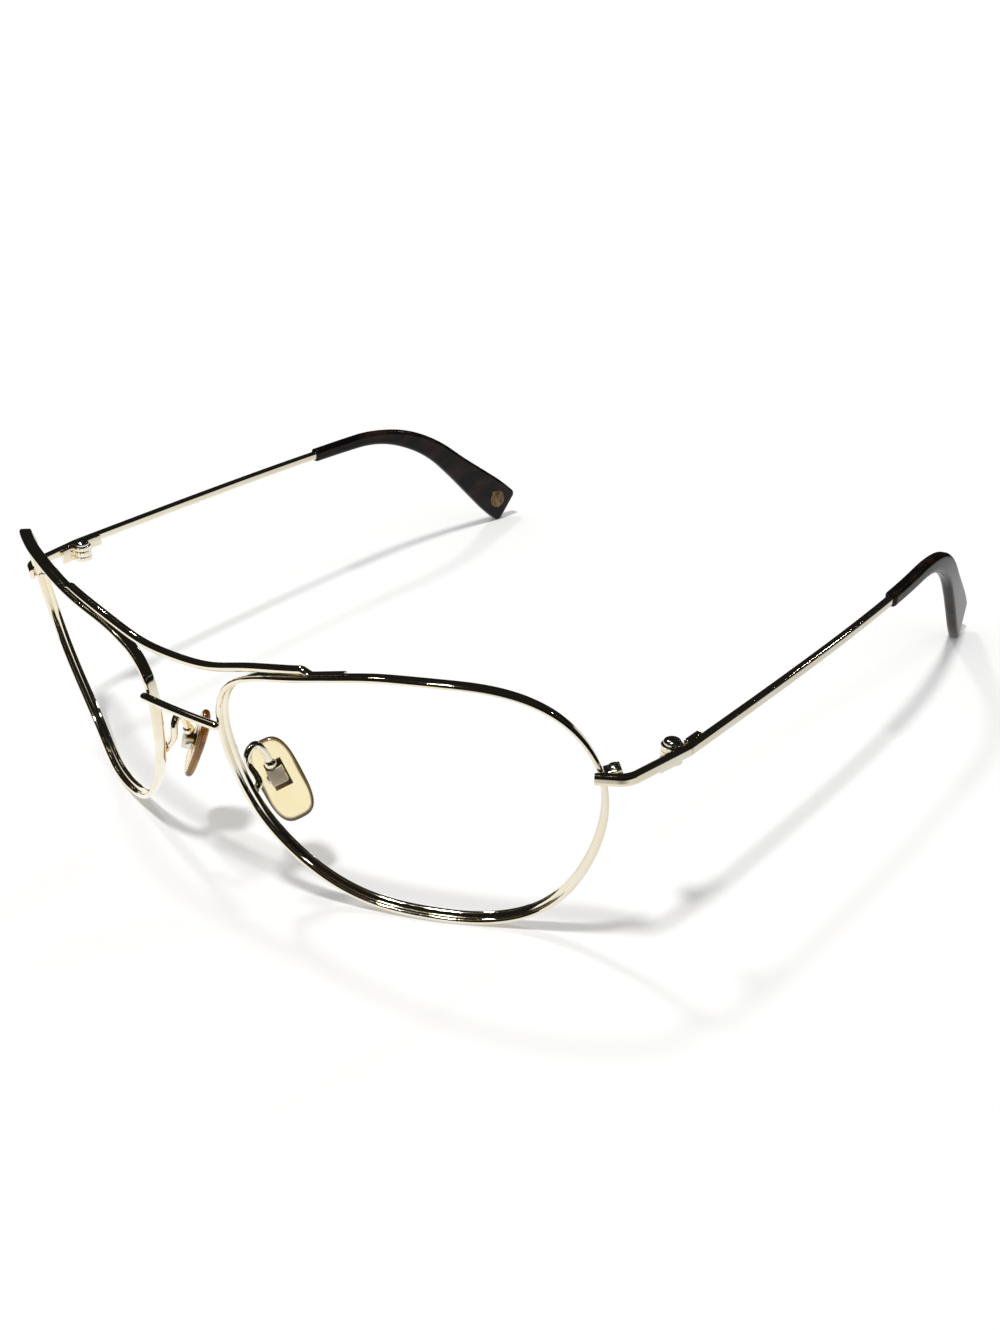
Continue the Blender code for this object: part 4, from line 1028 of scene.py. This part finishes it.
def fit_temples():
    """Flat wire from the joint into the tip, and the paddle-shaped tip over its end."""
    run = np.linspace(TEMPLE_NEAR, TIP_START + CORE_IN_TIP, TEMPLE_POINTS)
    distances = np.concatenate([[JOINT_GAP / 2.0], run])
    mesh = flat_wire("temple_wire", 0, *temple_frames(distances))
    fit_pair(mesh, "temple_wire", "temple", PALE_GOLD)

    mouth = TIP_START + TIP_MOUTH
    opening, first = np.transpose(TIP_MOUTH_TAPER)
    closing, last = np.transpose(TIP_END_TAPER)
    run = np.linspace(mouth + TIP_MOUTH_LONG, TEMPLE_LENGTH - TIP_EDGE, TIP_POINTS)
    distances = np.concatenate([mouth + opening, run, TEMPLE_LENGTH - TIP_EDGE * closing])
    taper = np.concatenate([first, np.ones(TIP_POINTS), last])
    places, heights = zip(*TIP_HEIGHTS)
    high = smooth_heights(distances - TIP_START, places, heights)
    mesh = draw_wire("temple_tip", *temple_frames(distances), TIP_WALL_WIDE, heights[0], TIP_EDGE,
                     DARK_ACETATE, TIP_CORNER_STEPS, growth=(high - heights[0]) / 2.0 * MM, taper=taper)
    place = plaque_frame()
    mesh = machined("temple_tip", mesh, [(CUT, oval(PLAQUE_GAP, CUT_BEYOND), place)])
    fit_pair(mesh, "temple_tip", "temple", DARK_ACETATE)
    place = place @ Matrix.Translation((0.0, 0.0, PLAQUE_GAP))
    mesh = machined("tip_plaque", oval(0.0, PLAQUE_PROUD), [], place, PLAQUE_EDGE)
    fit_pair(mesh, "tip_plaque", "temple", DULL_BRASS)


def smooth_heights(at, places, heights):
    """Heights between stations, rounded a little where the straight runs meet."""
    spread = np.linspace(-TIP_HEIGHT_EASE, TIP_HEIGHT_EASE, 13)
    return np.mean([np.interp(at + shift, places, heights) for shift in spread], axis=0)


def plaque_frame():
    """Axes on the inner face of the tip: x to its end, y up its face, z inward."""
    centre, outward, upward = temple_frames([TEMPLE_LENGTH - PLAQUE_FROM_END])
    inward = -outward[0]
    return axes(np.cross(upward[0], inward), upward[0], inward, centre[0] + inward * TIP_WALL_WIDE / 2.0)


def oval(gap, proud):
    """Builder of an oval slab on the tip's inner face."""
    place = Matrix.Translation((0.0, 0.0, (proud - PLAQUE_THICK) / 2.0)) @ Matrix.Diagonal(
        (PLAQUE_LONG / 2.0 + gap, PLAQUE_HIGH / 2.0 + gap, 1.0, 1.0))
    return lambda body: bmesh.ops.create_cone(
        body, cap_ends=True, segments=ROUND_STEPS, radius1=1.0, radius2=1.0,
        depth=PLAQUE_THICK + proud, matrix=place)


def fit_nose_pads():
    """Clear pads with a rounded edge, marked for painted shade near the outline, and a pocket for the brass
    insert.
    """
    turn = np.arange(PAD_RING_POINTS) * 2.0 * math.pi / PAD_RING_POINTS
    ways = np.stack([np.cos(turn), np.sin(turn)], axis=1)
    shape = np.sign(ways) * np.abs(ways) ** (2.0 / PAD_ROUND)
    upward, across, forward = pad_axes()
    body = bmesh.new()
    rings = []
    levels = np.concatenate([np.linspace(*run) for run in PAD_LEVELS])
    steps = [(height, pad_inset(height)) for height in levels]
    steps += [(steps[-1][0], steps[-1][1] + further) for further in PAD_FACE_RINGS]
    for height, inset in steps:
        flat = shape * (PAD_LONG / 2.0 - inset, PAD_WIDE / 2.0 - inset)
        ring = pad_centre() + forward * height * PAD_THICK + flat[:, :1] * upward + flat[:, 1:] * across
        rings.append([body.verts.new(point) for point in world(ring)])
    for row, following in zip(rings, rings[1:]):
        for k, after in enumerate([*range(1, len(row)), 0]):
            body.faces.new((row[k], row[after], following[after], following[k]))
    body.faces.new(list(reversed(rings[0])))
    body.faces.new(rings[-1])
    half_long, half_wide = INSERT_LONG / 2.0 + POCKET_GAP, INSERT_WIDE / 2.0 + POCKET_GAP
    pocket = block((-half_long, -half_wide, -INSERT_THICK - POCKET_GAP), (half_long, half_wide, CUT_BEYOND))
    mesh = machined("nose_pad", mesh_of(body, "nose_pad"),
                    [(CUT, pocket, pad_frame(BOX_UP, PAD_THICK / 2.0))])
    mark_painted_shade(mesh)
    fit_pair(mesh, "nose_pad", "pad", CLEAR_PAD)
    # The right pad wears the darker copy, painted shade for the grazing angle it is seen at.
    bpy.data.objects["nose_pad_piece_right"].data.materials[0] = SHADED_PAD_COPY


def pad_inset(height):
    """The edge's step in from the outline at a share of the thickness, eased between its stations."""
    spread = np.linspace(-PAD_EDGE_EASE, PAD_EDGE_EASE, 9)
    return float(np.mean(np.interp(np.clip(height + spread, -0.5, 0.5), *zip(*PAD_EDGE))))


def mark_painted_shade(mesh):
    """Store how near each point of the pad lies to its outline, for the finish's painted edge shade to read.
    """
    places = np.empty(len(mesh.vertices) * 3)
    mesh.vertices.foreach_get("co", places)
    away = places.reshape(-1, 3) / MM - PLACE - pad_centre()
    upward, across, _ = pad_axes()
    along, aside = np.abs(away @ upward), np.abs(away @ across)
    reach = (along / (PAD_LONG / 2.0)) ** PAD_ROUND + (aside / (PAD_WIDE / 2.0)) ** PAD_ROUND
    share = np.maximum(reach, 0.001) ** (1.0 / PAD_ROUND)
    inward = (1.0 - share) / share * np.hypot(along, aside)
    near = np.clip((PAD_SHADE_REACH - inward) / PAD_SHADE_FADE, 0.0, 1.0)
    mesh.attributes.new("painted_pad_shade", "FLOAT", "POINT").data.foreach_set("value", near.astype(np.float32))


def fit_pad_mounts():
    """Insert with its drilled boss, folded box, cross screw and bent arm of each nose pad."""
    screw_at, turned = pad_screw_place()
    around = axes(*turned, screw_at)
    bore = cylinder(PAD_SCREW_D + 2.0 * PAD_SCREW_GAP, -BORE_REACH, BORE_REACH)
    half_boss = BOSS_WIDE / 2.0
    base = block((-INSERT_LONG / 2.0, -INSERT_WIDE / 2.0, -INSERT_THICK),
                 (INSERT_LONG / 2.0, INSERT_WIDE / 2.0, 0.0))
    neck = block((-BOSS_NECK, -half_boss, -INSERT_THICK / 2.0), (BOSS_NECK, half_boss, PAD_SCREW_HEIGHT))
    mesh = machined("pad_insert", base, [
        (JOIN, neck), (JOIN, cylinder(BOSS_D, -half_boss - BOSS_PROUD, half_boss + BOSS_PROUD), around),
        (CUT, bore, around)], pad_frame(BOX_UP, PAD_THICK / 2.0), INSERT_EDGE)
    fit_pair(mesh, "pad_insert", "pad", DULL_BRASS)

    low = PAD_THICK / 2.0 + BOX_FLOOR_GAP
    high, half = low + BOX_HIGH, box_half_width()
    inside = block((-BOX_LONG, -half + BOX_WALL, low - CUT_BEYOND),
                   (BOX_LONG, half - BOX_WALL, high - BOX_WALL))
    mesh = machined("pad_box", block((-BOX_LONG / 2.0, -half, low), (BOX_LONG / 2.0, half, high)), [
        (CUT, inside), (CUT, bore, around)], pad_frame(BOX_UP), BOX_EDGE)
    fit_pair(mesh, "pad_box", "front", SATIN_GOLD)

    seat = axes(*turned, screw_at + turned[2] * (half + SOLDER_GAP))
    fit_screws("pad_screw", seat, PAD_HEAD_D, PAD_HEAD_H, PAD_SCREW_D, 2.0 * half + SOLDER_GAP)

    centre, outward, depth, ahead = (row[0] for row in rim_frame(ARM_ROOT_AT))
    root = centre + depth * (RIM_DEEP / 2.0 + SOLDER_GAP)
    upward, across, forward = pad_axes()
    beyond = BOX_UP + BOX_LONG / 2.0 + SOLDER_GAP + ARM_BALL_D / 2.0
    end = pad_centre() + upward * beyond + forward * (PAD_THICK / 2.0 + ARM_BALL_HEIGHT)
    bends = [pad_centre() + bend for bend in ARM_BENDS]
    leaving = root + depth * ARM_LEAVES_AT + (0.0, 0.0, ARM_LEAVES_UP)
    path = smooth_path([root - depth * ARM_ROOT_SUNK, leaving, *bends, end], ARM_POINTS)
    mesh = round_wire("pad_arm", path, *steady_axes(path), ARM_D)
    cut = block((-RIM_DEEP, -RIM_DEEP, -RIM_DEEP), (RIM_DEEP, RIM_DEEP / 2.0 + SOLDER_GAP, RIM_DEEP))
    mesh = machined("pad_arm", mesh, [(JOIN, ball(ARM_BALL_D), axes(upward, across, forward, end)),
                                      (CUT, cut, axes(outward, depth, ahead, centre))])
    fit_pair(mesh, "pad_arm", "front", PALE_GOLD)


def steady_axes(path):
    """Axes carried along a path that bends in space, without twist."""
    ahead = tangents(path)
    out = [unit(np.cross(ahead[0], ARM_SIDE))]
    for along in ahead[1:]:
        out.append(unit(out[-1] - (out[-1] @ along) * along))
    out = np.array(out)
    return out, np.cross(out, ahead)


fit_rims()
fit_brow_bar()
fit_bridge_bar()
fit_endpieces()
fit_closing_blocks()
fit_hinges()
fit_temples()
fit_nose_pads()
fit_pad_mounts()


# ---- stage, light and camera ----

TABLE_COLOUR = (0.8, 0.795, 0.79)
# A pool of light painted on the table and seen only in what the pieces mirror: its centre, its reach, its
# side and back bands, and how bright its back stays.
PAINTED_POOL_CENTRE = (-0.03, -0.05, 0.0)
PAINTED_POOL_REACH = (0.185, 0.235)
PAINTED_POOL_SIDE = (0.19, 0.215)
PAINTED_POOL_BACK = (-0.12, 0.16)
PAINTED_POOL_BACK_LEVEL = 0.66
TABLE_HALF = 30.0
TABLE_BELOW = 0.00002
TABLE_GLOW = 0.1
WHITE = (1.0, 1.0, 1.0)
SKY_FILL = 0.42
ROOM_COLOUR = (1.0, 0.92, 0.82)
ROOM_DARK = 0.012
# Each lamp's name, the way to it, its strength and the degrees that it fills.
LAMPS = (("key_lamp", (0.019, -0.308, 0.951), 1.9, 7.0),
         ("fill_lamp", (-0.5, 0.1, 0.86), 0.5, 6.0),
         ("back_lamp", (0.27, 0.82, 0.5), 0.15, 4.0))
CAMERA_AT = (157.227, -129.370, 107.414)
CAMERA_RIGHT = (0.80095009, 0.59872088, -0.00350221)
CAMERA_UP = (-0.26099207, 0.35439948, 0.89793327)
CAMERA_SENSOR = 36.0
CAMERA_LENS = 38.957
CAMERA_SHIFT = (-0.00499, 0.0001)
CAMERA_CLIP = (0.01, 100.0)


class Surface(Wiring):
    """The nodes of the floor or the sky."""

    def __init__(self, owner):
        owner.use_nodes = True
        super().__init__(owner.node_tree)
        self.nodes.clear()
        self.seen = self.node("ShaderNodeLightPath").outputs

    def ramp(self, value, start, end, low, high):
        return self.add("ShaderNodeMapRange", (value, start, end, low, high), interpolation_type="SMOOTHSTEP")

    def glow(self, kind, colour, strength):
        return self.add(kind, ((*colour, 1.0), strength))

    def either(self, share, first, second):
        return self.add("ShaderNodeMixShader", (share, first, second))

    def mirrored(self):
        """One for what the pieces mirror."""
        return self.sum("SUBTRACT", self.seen["Is Glossy Ray"], self.seen["Is Transmission Ray"])

    def looked_at(self):
        """One for what is seen directly or through the clear pads."""
        return self.sum("MAXIMUM", self.seen["Is Camera Ray"], self.seen["Is Transmission Ray"])


def make_floor():
    """White table. What the pieces mirror of it is a painted pool of light, a glow that no lamp casts:
    brightest in front round the frame, dimmer behind, and dark beyond its reach and to one side.
    """
    body = bmesh.new()
    bmesh.ops.create_grid(body, x_segments=2, y_segments=2, size=TABLE_HALF)
    mesh = bpy.data.meshes.new("floor")
    body.to_mesh(mesh)
    body.free()
    floor = add_object("floor", mesh)
    floor.location.z = -TABLE_BELOW
    made = bpy.data.materials.new("white_floor")
    surface = Surface(made)
    place = surface.node("ShaderNodeTexCoord").outputs["Object"]
    spot = surface.node("ShaderNodeSeparateXYZ", (place,)).outputs
    away = surface.node("ShaderNodeVectorMath", (place, PAINTED_POOL_CENTRE), operation="DISTANCE")
    behind = surface.sum("ADD", spot["X"], spot["Y"])
    aside = surface.sum("SUBTRACT", spot["X"], spot["Y"])
    # Painted pool of light: dimmer towards the back, dark beyond its reach and to one side.
    painted_pool = surface.ramp(behind, *PAINTED_POOL_BACK, 1.0, PAINTED_POOL_BACK_LEVEL)
    for reach, band in ((away.outputs["Value"], PAINTED_POOL_REACH), (aside, PAINTED_POOL_SIDE)):
        painted_pool = surface.sum("MULTIPLY", painted_pool, surface.ramp(reach, *band, 1.0, ROOM_DARK))
    plain = surface.add("ShaderNodeBsdfDiffuse", ((*TABLE_COLOUR, 1.0),))
    soft = surface.add("ShaderNodeAddShader", (plain, surface.glow("ShaderNodeEmission", WHITE, TABLE_GLOW)))
    shown = surface.either(surface.looked_at(), plain, soft)
    # The pieces mirror the painted pool, not the table as the lamps light it.
    shown = surface.either(surface.mirrored(), shown, surface.glow("ShaderNodeEmission", WHITE, painted_pool))
    surface.node("ShaderNodeOutputMaterial", (shown,))
    floor.data.materials.append(made)


def make_world():
    """Plain soft fill, a dark room in what the pieces mirror, and white where the camera looks."""
    sky = bpy.data.worlds.new("studio")
    bpy.context.scene.world = sky
    surface = Surface(sky)
    fill, room, white = (surface.glow("ShaderNodeBackground", *light) for light in (
        (WHITE, SKY_FILL), (ROOM_COLOUR, ROOM_DARK), (WHITE, 1.0)))
    shown = surface.either(surface.mirrored(), fill, room)
    surface.node("ShaderNodeOutputWorld", (surface.either(surface.looked_at(), shown, white),))


def add_lamp(name, towards, strength, spread):
    """A distant lamp, named by the way from the object to it."""
    lamp = bpy.data.lights.new(name, "SUN")
    lamp.energy, lamp.angle = strength, math.radians(spread)
    item = add_object(name, lamp)
    item.rotation_mode = "QUATERNION"
    item.rotation_quaternion = Vector(towards).to_track_quat("Z", "Y")


def make_camera():
    """The photograph's view: the lens, its small shift, and the axes of the picture."""
    lens = bpy.data.cameras.new("camera")
    lens.sensor_fit, lens.sensor_width, lens.lens = "AUTO", CAMERA_SENSOR, CAMERA_LENS
    lens.shift_x, lens.shift_y = CAMERA_SHIFT
    lens.clip_start, lens.clip_end = CAMERA_CLIP
    camera = add_object("camera", lens)
    right_axis, up_axis = Vector(CAMERA_RIGHT), Vector(CAMERA_UP)
    turn = Matrix((right_axis, up_axis, right_axis.cross(up_axis))).transposed().to_4x4()
    camera.matrix_world = Matrix.Translation(Vector(world(CAMERA_AT))) @ turn
    bpy.context.scene.camera = camera


make_floor()
make_world()
for lamp in LAMPS:
    add_lamp(*lamp)
make_camera()
bpy.context.scene.view_settings.view_transform = "Standard"
